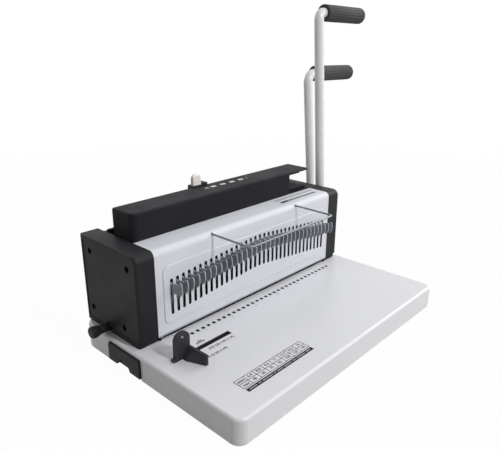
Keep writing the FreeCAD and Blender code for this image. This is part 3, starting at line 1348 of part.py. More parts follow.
def edge_guide():
    """Black paper guide: a low fence, a gusset, a finger tab and a stem."""
    left = FENCE_X - TAB_W
    tab = block(left, FENCE_X, TAB_Y, TAB_Y + TAB_T, GUIDE_LIFT, TAB_H)
    tab = fillet(tab, TAB_R, lambda e: spans(e, "y") and near(e.BoundBox.ZMin, TAB_H))
    fence_left = FENCE_X - FENCE_T
    foot = ((fence_left - GUSSET_W + FENCE_T, TAB_Y), (fence_left - GUSSET_W + FENCE_T, TAB_Y - GUSSET_STEP),
            (fence_left, FENCE_FRONT), (FENCE_X, FENCE_FRONT), (FENCE_X, TAB_Y))
    crest = ((fence_left, TAB_Y), (fence_left, TAB_Y - GUSSET_STEP), (fence_left, FENCE_FRONT),
             (FENCE_X, FENCE_FRONT), (FENCE_X, TAB_Y))
    rings = []
    for outline, z in ((foot, GUIDE_LIFT), (crest, FENCE_H)):
        corners = [vec(x, y, z) for x, y in outline]
        rings.append(Part.makePolygon(corners + corners[:1]))
    wedge = Part.makeLoft(rings, True, True)
    lip = block(left - GUIDE_LIP, left + 1, TAB_Y - 1, TAB_Y + TAB_T, GUIDE_LIFT, GUIDE_LIFT + GUIDE_LIP)
    stem = block(STEM_LEFT, STEM_LEFT + STEM_L, TRACK_FRONT + SLIDING, TRACK_FRONT + TRACK_W - SLIDING,
                 -BASE_WALL - SLIDING, GUIDE_LIFT)
    return joined([tab, wedge, lip, stem])


def guide_shoe():
    """Plate under the deck that keeps the guide in its slot."""
    middle = TRACK_FRONT + TRACK_W / 2
    top = -BASE_WALL - SLIDING
    return block(STEM_LEFT, STEM_LEFT + STEM_L, middle - SHOE_W / 2, middle + SHOE_W / 2, top - SHOE_T, top)


# ------------------------------------------------------------------ all the nodes

PUNCH_LEVER = (PUNCH_Y, PUNCH_Z, PUNCH_PLANE, PUNCH_LEAN)
CLOSE_LEVER = (CLOSE_Y, CLOSE_Z, CLOSE_PLANE, CLOSE_LEAN)
PUNCH_TUBE = PUNCH_LEVER + (PUNCH_REACH, PUNCH_BEND_R, PUNCH_GRIP_GAP)
CLOSE_TUBE = CLOSE_LEVER + (CLOSE_REACH, CLOSE_BEND_R, CLOSE_GRIP_GAP)


def all_nodes():
    """Every node's name and shape, in the working frame."""
    return {
        "base_shell": base_shell(),
        "base_plate": base_plate(),
        "rubber_feet": rubber_feet(),
        "base_screws": base_screws(),
        "chip_tray": chip_tray(),
        "tray_face": tray_face(),
        "side_frame_left": side_frame(-1),
        "side_frame_right": side_frame(1),
        "frame_screws": frame_screws(),
        "tie_rods": tie_rods(),
        "die_plate": die_plate(),
        "pin_guide": pin_guide(),
        "throat_spacers": throat_spacers(),
        "die_bolts": die_bolts(),
        "guide_posts": guide_posts(),
        "post_bar": post_bar(),
        "punch_bushes": shaft_bushes(PUNCH_Y, PUNCH_Z),
        "closing_bushes": shaft_bushes(CLOSE_Y, CLOSE_Z),
        "return_springs": return_springs(),
        "pressure_bar": pressure_bar(),
        "punch_pins": punch_pins(),
        "release_hooks": release_hooks(),
        "ram_lugs": ram_lugs(),
        "ram_yokes": ram_yokes(),
        "punch_shaft": lever_shaft(PUNCH_Y, PUNCH_Z, PUNCH_PLANE),
        "punch_cranks": cranks((PUNCH_Y, PUNCH_Z), (PUNCH_PIN_Y, PUNCH_PIN_Z)),
        "punch_rollers": rollers((PUNCH_PIN_Y, PUNCH_PIN_Z)),
        "punch_hub": lever_hub(*PUNCH_LEVER),
        "punch_hub_screw": hub_screw(*PUNCH_LEVER),
        "punch_handle_tube": lever_tube(*PUNCH_TUBE),
        "punch_grip": lever_grip(*PUNCH_TUBE),
        "closing_shaft": lever_shaft(CLOSE_Y, CLOSE_Z, CLOSE_PLANE),
        "closing_cranks": cranks((CLOSE_Y, CLOSE_Z), (CLOSE_PIN_Y, CLOSE_PIN_Z)),
        "closing_rollers": rollers((CLOSE_PIN_Y, CLOSE_PIN_Z)),
        "closing_spacer": closing_spacer(),
        "closing_hub": lever_hub(*CLOSE_LEVER),
        "closing_hub_screw": hub_screw(*CLOSE_LEVER),
        "closing_handle_tube": lever_tube(*CLOSE_TUBE),
        "closing_grip": lever_grip(*CLOSE_TUBE),
        "press_bar": press_bar(),
        "press_web": press_web(),
        "press_gibs": press_gibs(),
        "closing_anvil": closing_anvil(),
        "front_panel": front_panel(),
        "left_end_cover": end_cover(-1),
        "right_end_cover": end_cover(1),
        "cover_screws": cover_screws(),
        "rear_cover": rear_cover(),
        "top_hood": top_hood(),
        "hood_screws": hood_screws(),
        "size_slider": size_slider(),
        "size_knob": size_knob(),
        "size_stop": size_stop(),
        "wire_rack": wire_rack(),
        "rack_guides": rack_guides(),
        "margin_shaft": margin_shaft(),
        "margin_knob": margin_knob(),
        "depth_stop": depth_stop(),
        "edge_guide": edge_guide(),
        "guide_shoe": guide_shoe(),
    }


def main():
    """Write one STEP file for each node, in the finished frame."""
    os.makedirs("parts", exist_ok=True)
    for name, shape in all_nodes().items():
        shape.translate(vec(-ORIGIN_X, -ORIGIN_Y, -ORIGIN_Z))
        shape.exportStep("parts/" + name + ".step")
        print(name, len(shape.Solids), "solids", round(shape.Volume), "mm3", shape.isValid())


main()
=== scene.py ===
"""The looks of a desk machine that punches paper with one lever and closes binding wire with another.

The solid parts arrive as a fixed frame. Each class below dresses one sub-assembly: it
gives the solid parts their finishes and adds the fittings and printed marks that are too
fine for them. Fittings and prints are sized in millimetres, finishes and the studio in metres.
"""

import logging
import math
from dataclasses import dataclass, field
from enum import Enum
from typing import ClassVar, Iterable, Sequence

import bmesh
import bpy
from mathutils import Matrix, Vector


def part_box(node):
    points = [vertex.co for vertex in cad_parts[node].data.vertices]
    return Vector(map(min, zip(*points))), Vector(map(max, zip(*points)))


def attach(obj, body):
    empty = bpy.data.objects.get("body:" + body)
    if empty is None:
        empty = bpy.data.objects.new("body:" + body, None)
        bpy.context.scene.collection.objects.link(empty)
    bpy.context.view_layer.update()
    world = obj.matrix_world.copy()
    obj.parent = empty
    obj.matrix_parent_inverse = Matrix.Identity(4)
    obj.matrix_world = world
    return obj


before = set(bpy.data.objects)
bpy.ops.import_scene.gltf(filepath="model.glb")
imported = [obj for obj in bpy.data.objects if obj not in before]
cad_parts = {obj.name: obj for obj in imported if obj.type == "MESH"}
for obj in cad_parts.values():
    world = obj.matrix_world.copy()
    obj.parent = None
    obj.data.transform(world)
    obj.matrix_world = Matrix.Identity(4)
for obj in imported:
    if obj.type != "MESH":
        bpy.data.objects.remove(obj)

LOG = logging.getLogger("binding_machine")
MM = 0.001
BEVEL_SAMPLES = 4
SMOOTH_BELOW = 40.0
INK_LIFT = 0.05
INK_STEP = 0.01
FONT_SCALE = 1.4
FONT_STEPS = 2
STROKE_GROWTH = 0.035

Colour = tuple[float, float, float]
Point = tuple[float, float, float]
Strip = tuple[float, float, float, float]
WHITE: Colour = (1.0, 1.0, 1.0)


# ------------------------------------------------------------------ node building


class Effect(Enum):
    """Shader node groups that several finishes share."""

    EDGE_WEAR = "edge_wear"
    GRAIN = "moulded_grain"
    BRUSHING = "brushed_lines"
    DUST_AND_SHEEN = "settled_dust_and_sheen"
    SMUDGE = "hand_smudge"


class Graph:
    """A node tree with short ways to add and join nodes."""

    MIX_SHARE, MIX_FIRST, MIX_SECOND, MIX_RESULT = 0, 6, 7, 2

    def __init__(self, tree: bpy.types.NodeTree) -> None:
        """Wrap the tree that the nodes go into."""
        self.tree = tree

    def add(self, kind: str, **settings: object) -> bpy.types.Node:
        """Add a node.

        Args:
            kind: the node's type name, without the ShaderNode that it starts with.
            settings: properties to set on the node.

        Returns:
            The new node.
        """
        full = kind if kind.startswith("NodeGroup") else "ShaderNode" + kind
        node = self.tree.nodes.new(full)
        for name, value in settings.items():
            setattr(node, name, value)
        return node

    def join(self, source: bpy.types.NodeSocket, target: bpy.types.NodeSocket) -> None:
        """Link an output socket to an input socket."""
        self.tree.links.new(source, target)

    def maths(self, operation: str, first: object, second: object = 0.0) -> bpy.types.NodeSocket:
        """Add a Math node.

        Args:
            operation: the node's operation, such as MULTIPLY.
            first: a number or a socket.
            second: a number or a socket.

        Returns:
            The node's output socket.
        """
        node = self.add("Math", operation=operation)
        for slot, value in enumerate((first, second)):
            if isinstance(value, bpy.types.NodeSocket):
                self.join(value, node.inputs[slot])
            else:
                node.inputs[slot].default_value = value
        return node.outputs[0]

    def times(self, first: object, second: object) -> bpy.types.NodeSocket:
        """Multiply two numbers or sockets."""
        return self.maths("MULTIPLY", first, second)

    def split(self, vector: bpy.types.NodeSocket) -> bpy.types.bpy_prop_collection:
        """Split a vector.

        Args:
            vector: the vector's socket.

        Returns:
            The sockets X, Y and Z.
        """
        node = self.add("SeparateXYZ")
        self.join(vector, node.inputs[0])
        return node.outputs

    def ramp(self, value: bpy.types.NodeSocket, low: float, high: float,
             out_low: float = 0.0, out_high: float = 1.0) -> bpy.types.NodeSocket:
        """Stretch a value from one range to another, held at its ends.

        Args:
            value: the socket to read.
            low: the value that gives out_low.
            high: the value that gives out_high.
            out_low: the result at low.
            out_high: the result at high.

        Returns:
            The stretched value's socket.
        """
        node = self.add("MapRange", clamp=True)
        self.join(value, node.inputs["Value"])
        for name, number in (("From Min", low), ("From Max", high),
                             ("To Min", out_low), ("To Max", out_high)):
            node.inputs[name].default_value = number
        return node.outputs["Result"]

    def blend(self, share: object, first: object, second: object) -> bpy.types.NodeSocket:
        """Mix two colours.

        Args:
            share: a number or a socket, 0 for the first colour and 1 for the second.
            first: a colour or a socket.
            second: a colour or a socket.

        Returns:
            The mixed colour's socket.
        """
        node = self.add("Mix", data_type="RGBA")
        for slot, value in ((self.MIX_SHARE, share), (self.MIX_FIRST, first), (self.MIX_SECOND, second)):
            if isinstance(value, bpy.types.NodeSocket):
                self.join(value, node.inputs[slot])
            elif slot == self.MIX_SHARE:
                node.inputs[slot].default_value = value
            else:
                node.inputs[slot].default_value = (*value, 1.0)
        return node.outputs[self.MIX_RESULT]


@dataclass(frozen=True)
class Cloud:
    """A noise pattern, and the span of its values that is stretched from 0 to 1."""

    scale: float
    detail: float
    span: tuple[float, float]


@dataclass
class SharedEffects:
    """Builds each shared node group once and places copies of it in materials."""

    built: dict[Effect, bpy.types.NodeTree] = field(default_factory=dict)
    edge_turn: tuple[float, float] = (0.985, 0.80)
    worn_patches: Cloud = Cloud(160.0, 4.0, (0.42, 0.62))
    relief_span: tuple[float, float] = (0.3, 0.7)
    grain_detail: float = 3.0
    tint_patches: Cloud = Cloud(22.0, 4.0, (0.35, 0.65))
    line_detail: float = 6.0
    line_stretch: Point = (1.0, 26.0, 26.0)
    streaks: Cloud = Cloud(30.0, 3.0, (0.8, 1.2))
    upward_span: tuple[float, float] = (0.5, 1.0)
    dust_specks: Cloud = Cloud(75.0, 8.0, (0.40, 0.75))
    handled_patches: Cloud = Cloud(14.0, 5.0, (0.35, 0.65))

    def start(self, effect: Effect, numbers: dict[str, float],
              outputs: Sequence[str]) -> tuple[Graph, bpy.types.Node, bpy.types.Node]:
        """Make an empty group with its sockets.

        Args:
            effect: which group it is.
            numbers: name and starting value of each input.
            outputs: name of each output.

        Returns:
            The graph, and the group's input and output nodes.
        """
        tree = bpy.data.node_groups.new(effect.value, "ShaderNodeTree")
        for name, value in numbers.items():
            socket = tree.interface.new_socket(name, in_out="INPUT", socket_type="NodeSocketFloat")
            socket.default_value = value
        for name in outputs:
            tree.interface.new_socket(name, in_out="OUTPUT", socket_type="NodeSocketFloat")
        graph = Graph(tree)
        self.built[effect] = tree
        return graph, graph.add("NodeGroupInput"), graph.add("NodeGroupOutput")

    def noise(self, graph: Graph, scale: object, detail: float,
              stretch: Point = (1.0, 1.0, 1.0)) -> bpy.types.NodeSocket:
        """Noise in the part's own coordinates.

        Args:
            graph: where the nodes go.
            scale: a number or a socket.
            detail: how many finer layers are added.
            stretch: factors on the three coordinates.

        Returns:
            The noise value's socket.
        """
        place = graph.add("TexCoord")
        mapping = graph.add("Mapping")
        mapping.inputs["Scale"].default_value = stretch
        graph.join(place.outputs["Object"], mapping.inputs["Vector"])
        noise = graph.add("TexNoise")
        noise.inputs["Detail"].default_value = detail
        graph.join(mapping.outputs["Vector"], noise.inputs["Vector"])
        if isinstance(scale, bpy.types.NodeSocket):
            graph.join(scale, noise.inputs["Scale"])
        else:
            noise.inputs["Scale"].default_value = scale
        return noise.outputs[0]

    def patches(self, graph: Graph, cloud: Cloud) -> bpy.types.NodeSocket:
        """A cloud's noise, stretched from 0 to 1."""
        return graph.ramp(self.noise(graph, cloud.scale, cloud.detail), *cloud.span)

    def edge_wear(self) -> None:
        """Mask of rubbed outer edges: where a rounded normal leaves the true one."""
        graph, given, out = self.start(Effect.EDGE_WEAR, {"Radius": 0.001, "Amount": 0.5}, ["Mask"])
        bevel = graph.add("Bevel", samples=BEVEL_SAMPLES)
        graph.join(given.outputs["Radius"], bevel.inputs["Radius"])
        truth = graph.add("NewGeometry")
        dot = graph.add("VectorMath", operation="DOT_PRODUCT")
        graph.join(bevel.outputs["Normal"], dot.inputs[0])
        graph.join(truth.outputs["Normal"], dot.inputs[1])
        edge = graph.ramp(dot.outputs["Value"], *self.edge_turn)
        worn = graph.times(edge, self.patches(graph, self.worn_patches))
        graph.join(graph.times(worn, given.outputs["Amount"]), out.inputs["Mask"])

    def grain(self) -> None:
        """Fine texture of a mould's surface, as a height and a tint."""
        graph, given, out = self.start(Effect.GRAIN, {"Scale": 900.0}, ["Height", "Tint"])
        fine = self.noise(graph, given.outputs["Scale"], self.grain_detail)
        graph.join(graph.ramp(fine, *self.relief_span), out.inputs["Height"])
        graph.join(self.patches(graph, self.tint_patches), out.inputs["Tint"])

    def brushing(self) -> None:
        """Lines that rolling or grinding leaves in metal, as a height and a streak."""
        graph, given, out = self.start(Effect.BRUSHING, {"Scale": 60.0}, ["Height", "Streak"])
        lines = self.noise(graph, given.outputs["Scale"], self.line_detail, self.line_stretch)
        graph.join(graph.ramp(lines, *self.relief_span), out.inputs["Height"])
        both = graph.maths("ADD", lines, self.noise(graph, self.streaks.scale, self.streaks.detail))
        graph.join(graph.ramp(both, *self.streaks.span), out.inputs["Streak"])

    def dust_and_sheen(self) -> None:
        """Mask of fine specks on faces that look up, settled there as dirt; on the grip the same mask also
        paints a highlight on its top.
        """
        graph, given, out = self.start(Effect.DUST_AND_SHEEN, {"Amount": 0.2}, ["Mask"])
        facing = graph.split(graph.add("NewGeometry").outputs["Normal"])
        upward = graph.ramp(facing["Z"], *self.upward_span)
        settled = graph.times(upward, self.patches(graph, self.dust_specks))
        graph.join(graph.times(settled, given.outputs["Amount"]), out.inputs["Mask"])

    def smudge(self) -> None:
        """Slow change of gloss that handling leaves."""
        graph, given, out = self.start(Effect.SMUDGE, {"Low": 0.3, "High": 0.4}, ["Roughness"])
        cloud = self.patches(graph, self.handled_patches)
        span = graph.maths("SUBTRACT", given.outputs["High"], given.outputs["Low"])
        rough = graph.maths("ADD", given.outputs["Low"], graph.times(cloud, span))
        graph.join(rough, out.inputs["Roughness"])

    def place(self, graph: Graph, effect: Effect, **values: float) -> bpy.types.Node:
        """Put one group into a material.

        Args:
            graph: the material's graph.
            effect: which group.
            values: inputs to set, by name with a small first letter.

        Returns:
            The group's node.
        """
        if effect not in self.built:
            {Effect.EDGE_WEAR: self.edge_wear, Effect.GRAIN: self.grain, Effect.BRUSHING: self.brushing,
             Effect.DUST_AND_SHEEN: self.dust_and_sheen, Effect.SMUDGE: self.smudge}[effect]()
        node = graph.add("Group", node_tree=self.built[effect])
        for name, value in values.items():
            node.inputs[name.capitalize()].default_value = value
        return node


EFFECTS = SharedEffects()


# ---------------------------------------------------------------------- finishes


@dataclass(frozen=True)
class Finish:
    """What every finish has: a name and a base colour."""

    name: str
    colour: Colour

    def start(self) -> tuple[bpy.types.Material, Graph, bpy.types.Node]:
        """Make an empty material.

        Returns:
            The material, its graph and its surface shader.
        """
        material = bpy.data.materials.new(self.name)
        material.use_nodes = True
        material.diffuse_color = (*self.colour, 1.0)
        graph = Graph(material.node_tree)
        shader = material.node_tree.nodes["Principled BSDF"]
        shader.inputs["Base Color"].default_value = (*self.colour, 1.0)
        return material, graph, shader

    def material(self) -> bpy.types.Material:
        """Build the material; each kind of finish has its own way."""
        raise NotImplementedError

    def tone(self, factor: float, extra: float = 0.0) -> Colour:
        """The base colour made lighter or darker, held at 1."""
        return tuple(min(1.0, channel * factor + extra) for channel in self.colour)

    @staticmethod
    def layer(graph: Graph, base: bpy.types.NodeSocket, colour: Colour, effect: Effect,
              **values: float) -> bpy.types.NodeSocket:
        """Lay a colour over the colour so far where an effect's mask says so."""
        return graph.blend(EFFECTS.place(graph, effect, **values).outputs["Mask"], base, colour)

    @staticmethod
    def gloss(graph: Graph, shader: bpy.types.Node, rough: tuple[float, float]) -> None:
        """Let the roughness drift between two values."""
        smudge = EFFECTS.place(graph, Effect.SMUDGE, low=rough[0], high=rough[1])
        graph.join(smudge.outputs["Roughness"], shader.inputs["Roughness"])

    @staticmethod
    def bump(graph: Graph, shader: bpy.types.Node, height: bpy.types.NodeSocket,
             strength: float, depth: float, soften: float = 0.0) -> None:
        """Give the shader relief from a height.

        Args:
            graph: the material's graph.
            shader: the surface shader.
            height: the height's socket.
            strength: how much of the relief shows.
            depth: the relief's height in metres.
            soften: radius in metres by which sharp edges catch light, or 0.
        """
        relief = graph.add("Bump")
        relief.inputs["Strength"].default_value = strength
        relief.inputs["Distance"].default_value = depth
        graph.join(height, relief.inputs["Height"])
        if soften > 0:
            rounded = graph.add("Bevel", samples=BEVEL_SAMPLES)
            rounded.inputs["Radius"].default_value = soften
            graph.join(rounded.outputs["Normal"], relief.inputs["Normal"])
        graph.join(relief.outputs["Normal"], shader.inputs["Normal"])


@dataclass(frozen=True)
class Paint(Finish):
    """Paint or powder coat over sheet steel, rubbed at its edges."""

    rough: tuple[float, float] = (0.3, 0.4)
    peel: float = 0.12
    peel_scale: float = 420.0
    peel_depth: float = 0.00006
    coat: float = 0.2
    coat_rough: float = 0.12
    wear: float = 0.25
    edge_radius: float = 0.0008
    under: Colour = (0.45, 0.46, 0.48)
    dust_and_sheen: float = 0.1
    dust_and_sheen_colour: Colour = (0.55, 0.54, 0.52)
    tint: float = 0.04
    soften: float = 0.0004
    shine: float = 0.5

    def material(self) -> bpy.types.Material:
        """Build the paint's material.

        Returns:
            The material.
        """
        material, graph, shader = self.start()
        shader.inputs["Specular IOR Level"].default_value = self.shine
        shader.inputs["Coat Weight"].default_value = self.coat
        shader.inputs["Coat Roughness"].default_value = self.coat_rough
        grain = EFFECTS.place(graph, Effect.GRAIN, scale=self.peel_scale)
        base = graph.blend(grain.outputs["Tint"], self.colour, self.tone(1.0 - self.tint))
        base = self.layer(graph, base, self.under, Effect.EDGE_WEAR,
                          radius=self.edge_radius, amount=self.wear)
        base = self.layer(graph, base, self.dust_and_sheen_colour, Effect.DUST_AND_SHEEN, amount=self.dust_and_sheen)
        graph.join(self.shaded(graph, base), shader.inputs["Base Color"])
        self.gloss(graph, shader, self.rough)
        self.bump(graph, shader, grain.outputs["Height"], self.peel, self.peel_depth, self.soften)
        return material

    def shaded(self, graph: Graph, base: bpy.types.NodeSocket) -> bpy.types.NodeSocket:
        """Paint shade into the colour where a kind of paint needs it; plain paint keeps its colour."""
        return base


@dataclass(frozen=True)
class SlottedPaint(Paint):
    """Paint on a sheet with painted shade on its slot walls and on its lower hem above the paper's way."""

    # painted shade: colours and reach of the dark slot walls and the dark lower hem
    slot_wall_shade_colour: Colour = (0.020, 0.020, 0.023)
    slot_wall_facing: float = 0.4
    hem_shade_colour: Colour = (0.07, 0.073, 0.09)
    hem_shade_height: float = 0.0030
    hem_shade_share: float = 0.85
    beside_row: float = 0.0035
    below_hooks: float = 0.0256
    above_hooks: float = 0.0025

    def shaded(self, graph: Graph, base: bpy.types.NodeSocket) -> bpy.types.NodeSocket:
        """Paint shade on the slots' walls, which face along the sheet, and on the sheet's lower hem.

        Args:
            graph: the material's graph.
            base: the paint's colour so far.

        Returns:
            The colour with painted shade on the slot walls and the hem.
        """
        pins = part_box("punch_pins")
        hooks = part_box("release_hooks")
        place = graph.split(graph.add("TexCoord").outputs["Object"])
        facing = graph.split(graph.add("NewGeometry").outputs["Normal"])
        # painted shade: slot walls near the hole row and hooks turn almost black
        mask = graph.maths("LESS_THAN", graph.maths("ABSOLUTE", facing["Y"]), self.slot_wall_facing)
        for axis, low, high in (("X", pins[0].x - self.beside_row, pins[1].x + self.beside_row),
                                ("Z", hooks[0].z - self.below_hooks, hooks[1].z + self.above_hooks)):
            mask = graph.times(mask, graph.maths("GREATER_THAN", place[axis], low))
            mask = graph.times(mask, graph.maths("LESS_THAN", place[axis], high))
        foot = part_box("front_panel")[0].z
        # painted shade: the sheet darkens towards its lower edge above the throat
        hem = graph.ramp(place["Z"], foot, foot + self.hem_shade_height, self.hem_shade_share, 0.0)
        return graph.blend(mask, graph.blend(hem, base, self.hem_shade_colour), self.slot_wall_shade_colour)


@dataclass(frozen=True)
class Moulding(Finish):
    """Moulded plastic or rubber with a fine grain."""

    rough: tuple[float, float] = (0.45, 0.6)
    grain: float = 0.5
    grain_scale: float = 900.0
    grain_depth: float = 0.00008
    lighter: tuple[float, float] = (1.35, 0.004)
    lighter_share: float = 0.5
    dust_and_sheen: float = 0.12
    dust_and_sheen_colour: Colour = (0.42, 0.41, 0.40)
    scuff: float = 0.3
    scuff_colour: Colour = (0.16, 0.16, 0.17)
    edge_radius: float = 0.0010
    soften: float = 0.0004
    shine: float = 0.3

    def material(self) -> bpy.types.Material:
        """Build the moulding's material.

        Returns:
            The material.
        """
        material, graph, shader = self.start()
        shader.inputs["Specular IOR Level"].default_value = self.shine
        grain = EFFECTS.place(graph, Effect.GRAIN, scale=self.grain_scale)
        share = graph.times(grain.outputs["Tint"], self.lighter_share)
        base = graph.blend(share, self.colour, self.tone(*self.lighter))
        base = self.layer(graph, base, self.scuff_colour, Effect.EDGE_WEAR,
                          radius=self.edge_radius, amount=self.scuff)
        base = self.layer(graph, base, self.dust_and_sheen_colour, Effect.DUST_AND_SHEEN, amount=self.dust_and_sheen)
        graph.join(base, shader.inputs["Base Color"])
        self.gloss(graph, shader, self.rough)
        self.bump(graph, shader, grain.outputs["Height"], self.grain, self.grain_depth, self.soften)
        return material


@dataclass(frozen=True)
class Metal(Finish):
    """Bare or plated metal with rolling or grinding lines."""

    rough: tuple[float, float] = (0.25, 0.4)
    lines: float = 0.2
    line_scale: float = 60.0
    line_depth: float = 0.00003
    wear: float = 0.5
    edge_radius: float = 0.0006
    brighter: tuple[float, float] = (1.2, 0.05)
    tarnish: float = 0.25
    soften: float = 0.0003
    metallic: float = 1.0

    def material(self) -> bpy.types.Material:
        """Build the metal's material.

        Returns:
            The material.
        """
        material, graph, shader = self.start()
        shader.inputs["Metallic"].default_value = self.metallic
        lines = EFFECTS.place(graph, Effect.BRUSHING, scale=self.line_scale)
        base = graph.blend(lines.outputs["Streak"], self.colour, self.tone(1.0 - self.tarnish))
        base = self.layer(graph, base, self.tone(*self.brighter), Effect.EDGE_WEAR,
                          radius=self.edge_radius, amount=self.wear)
        graph.join(base, shader.inputs["Base Color"])
        self.gloss(graph, shader, self.rough)
        self.bump(graph, shader, lines.outputs["Height"], self.lines, self.line_depth, self.soften)
        return material


@dataclass(frozen=True)
class Ink(Finish):
    """Screen-printed ink with slightly broken cover."""

    paper: Colour = (0.5, 0.5, 0.5)
    broken: float = 0.25
    rough: float = 0.5
    shine: float = 0.1
    grain_scale: float = 1400.0
    gaps: tuple[float, float] = (0.55, 1.0)
    relief: float = 0.2
    relief_depth: float = 0.00002

    def material(self) -> bpy.types.Material:
        """Build the ink's material.

        Returns:
            The material.
        """
        material, graph, shader = self.start()
        shader.inputs["Roughness"].default_value = self.rough
        shader.inputs["Specular IOR Level"].default_value = self.shine
        grain = EFFECTS.place(graph, Effect.GRAIN, scale=self.grain_scale)
        share = graph.times(graph.ramp(grain.outputs["Height"], *self.gaps), self.broken)
        graph.join(graph.blend(share, self.colour, self.paper), shader.inputs["Base Color"])
        self.bump(graph, shader, grain.outputs["Height"], self.relief, self.relief_depth)
        return material


DECK_PAINT = Paint("deck_paint", (0.672, 0.677, 0.706), rough=(0.29, 0.33), peel=0.05, coat=0.0, wear=0.0,
                   dust_and_sheen=0.0, tint=0.015, soften=0.0)
PANEL_PAINT = SlottedPaint("panel_paint", (0.65, 0.668, 0.715), rough=(0.42, 0.50), peel=0.10,
                           coat=0.0, wear=0.03, dust_and_sheen=0.0, tint=0.02, shine=0.22)
REAR_PAINT = Paint("rear_paint", (0.66, 0.68, 0.72), wear=0.1)
HOOD_BLACK = Paint("hood_black", (0.0168, 0.0168, 0.0205), rough=(0.50, 0.62), peel=0.35, coat=0.0, wear=0.10,
                   under=(0.08, 0.08, 0.09), dust_and_sheen=0.015, tint=0.15, shine=0.08)
FRAME_PAINT = Paint("frame_paint", (0.010, 0.0105, 0.013), rough=(0.55, 0.65), coat=0.0, wear=0.1, dust_and_sheen=0.0,
                    tint=0.15, shine=0.08)
LEVER_PAINT = Paint("lever_paint", (0.73, 0.725, 0.73), rough=(0.28, 0.38), peel=0.1, wear=0.1, dust_and_sheen=0.0)
COVER_BLACK = Moulding("cover_black", (0.0125, 0.0126, 0.0152), rough=(0.48, 0.6), dust_and_sheen=0.0,
                       scuff=0.10, shine=0.14)
TRIM_BLACK = Moulding("trim_black", (0.023, 0.024, 0.029), rough=(0.42, 0.55), dust_and_sheen=0.03,
                      scuff=0.2, shine=0.22)
TRAY_BLACK = Moulding("tray_black", (0.014, 0.014, 0.016), rough=(0.5, 0.6), shine=0.2)
# The grip's upward speck layer is raised so that it also paints a highlight on the grip's top.
GRIP_RUBBER = Moulding("grip_rubber", (0.040, 0.041, 0.044), rough=(0.62, 0.78), grain=0.9, grain_scale=700.0,
                       dust_and_sheen=0.11, scuff=0.15, shine=0.2)
FOOT_RUBBER = Moulding("foot_rubber", (0.02, 0.02, 0.02), rough=(0.7, 0.85), dust_and_sheen=0.1)
KNOB_WHITE = Moulding("knob_white", (0.84, 0.79, 0.73), rough=(0.3, 0.42), grain=0.15, dust_and_sheen=0.0, scuff=0.1,
                      scuff_colour=(0.55, 0.54, 0.5), shine=0.5)
HOOK_STEEL = Metal("hook_steel", (0.36, 0.375, 0.415), rough=(0.30, 0.45), lines=0.25, tarnish=0.35,
                   metallic=0.25, soften=0.0)
TOOL_STEEL = Metal("tool_steel", (0.44, 0.45, 0.47), rough=(0.22, 0.36))
FRAME_STEEL = Metal("frame_steel", (0.34, 0.35, 0.37), rough=(0.35, 0.5), lines=0.3)
# Very dark steel: its colour paints the shade on the pin guide seen through the panel's slots; the pressure
# bar wears it too.
SHADED_DARK_STEEL = Metal("shaded_dark_steel", (0.035, 0.036, 0.040), rough=(0.4, 0.55), tarnish=0.3)
ZINC_PLATE = Metal("zinc_plate", (0.50, 0.52, 0.56), rough=(0.28, 0.42))
SCREW_STEEL = Metal("screw_steel", (0.34, 0.35, 0.37), rough=(0.3, 0.45))
SPRING_STEEL = Metal("spring_steel", (0.30, 0.30, 0.32), rough=(0.3, 0.4))
RACK_CHROME = Metal("rack_chrome", (0.22, 0.225, 0.237), rough=(0.22, 0.32), lines=0.05, tarnish=0.2)
BUSH_BRONZE = Metal("bush_bronze", (0.60, 0.43, 0.24), rough=(0.35, 0.5), tarnish=0.3)
INK_BLACK = Ink("ink_black", (0.014, 0.014, 0.018), paper=(0.10, 0.10, 0.12), broken=0.15)
INK_GREY = Ink("ink_grey", (0.055, 0.058, 0.068), paper=(0.3, 0.32, 0.35), broken=0.2)
INK_PALE = Ink("ink_pale", (0.33, 0.34, 0.36), paper=(0.55, 0.57, 0.6))
INK_WHITE = Ink("ink_white", (0.78, 0.78, 0.78), paper=(0.2, 0.2, 0.21))


@dataclass
class Paintbox:
    """Makes each finish's material once and hands it out."""

    made: dict[str, bpy.types.Material] = field(default_factory=dict)

    def get(self, finish: Finish) -> bpy.types.Material:
        """Give a finish's material.

        Args:
            finish: the finish.

        Returns:
            The material.
        """
        if finish.name not in self.made:
            self.made[finish.name] = finish.material()
        return self.made[finish.name]

    def dress(self, node: str, finish: Finish) -> None:
        """Give a solid part its finish.

        Args:
            node: the part's node name.
            finish: the finish.
        """
        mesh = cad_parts[node].data
        mesh.materials.clear()
        mesh.materials.append(self.get(finish))


PAINTBOX = Paintbox()


# ------------------------------------------------------------------- mesh making


def spread(first: float, last: float, count: int) -> list[float]:
    """Evenly spaced places from the first to the last."""
    return [first + (last - first) * k / (count - 1) for k in range(count)]


def ring_strips(x: tuple[float, float], y: tuple[float, float], outset: float,
                inset: float) -> tuple[Strip, ...]:
    """Four strips that follow the sides of a rectangle.

    Args:
        x: the rectangle's ends in x.
        y: the rectangle's ends in y.
        outset: how far outside the rectangle the strips begin.
        inset: how far inside the rectangle they end.

    Returns:
        Low x, high x, low y and high y of each strip.
    """
    outer_x, outer_y = ((low - outset, high + outset) for low, high in (x, y))
    inner_x, inner_y = ((low + inset, high - inset) for low, high in (x, y))
    return ((*outer_x, outer_y[0], inner_y[0]), (*outer_x, inner_y[1], outer_y[1]),
            (outer_x[0], inner_x[0], *inner_y), (inner_x[1], outer_x[1], *inner_y))


def add_piece(name: str, body: str, mesh: bpy.types.Mesh, finish: Finish) -> bpy.types.Object:
    """Put a mesh into the scene as a piece that rides on a body.

    Args:
        name: the piece's name.
        body: the body that it rides on.
        mesh: its mesh.
        finish: its finish.

    Returns:
        The piece.
    """
    piece = bpy.data.objects.new(name, mesh)
    bpy.context.scene.collection.objects.link(piece)
    mesh.materials.append(PAINTBOX.get(finish))
    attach(piece, body)
    LOG.info("%s rides on %s with %d faces", name, body, len(mesh.polygons))
    return piece


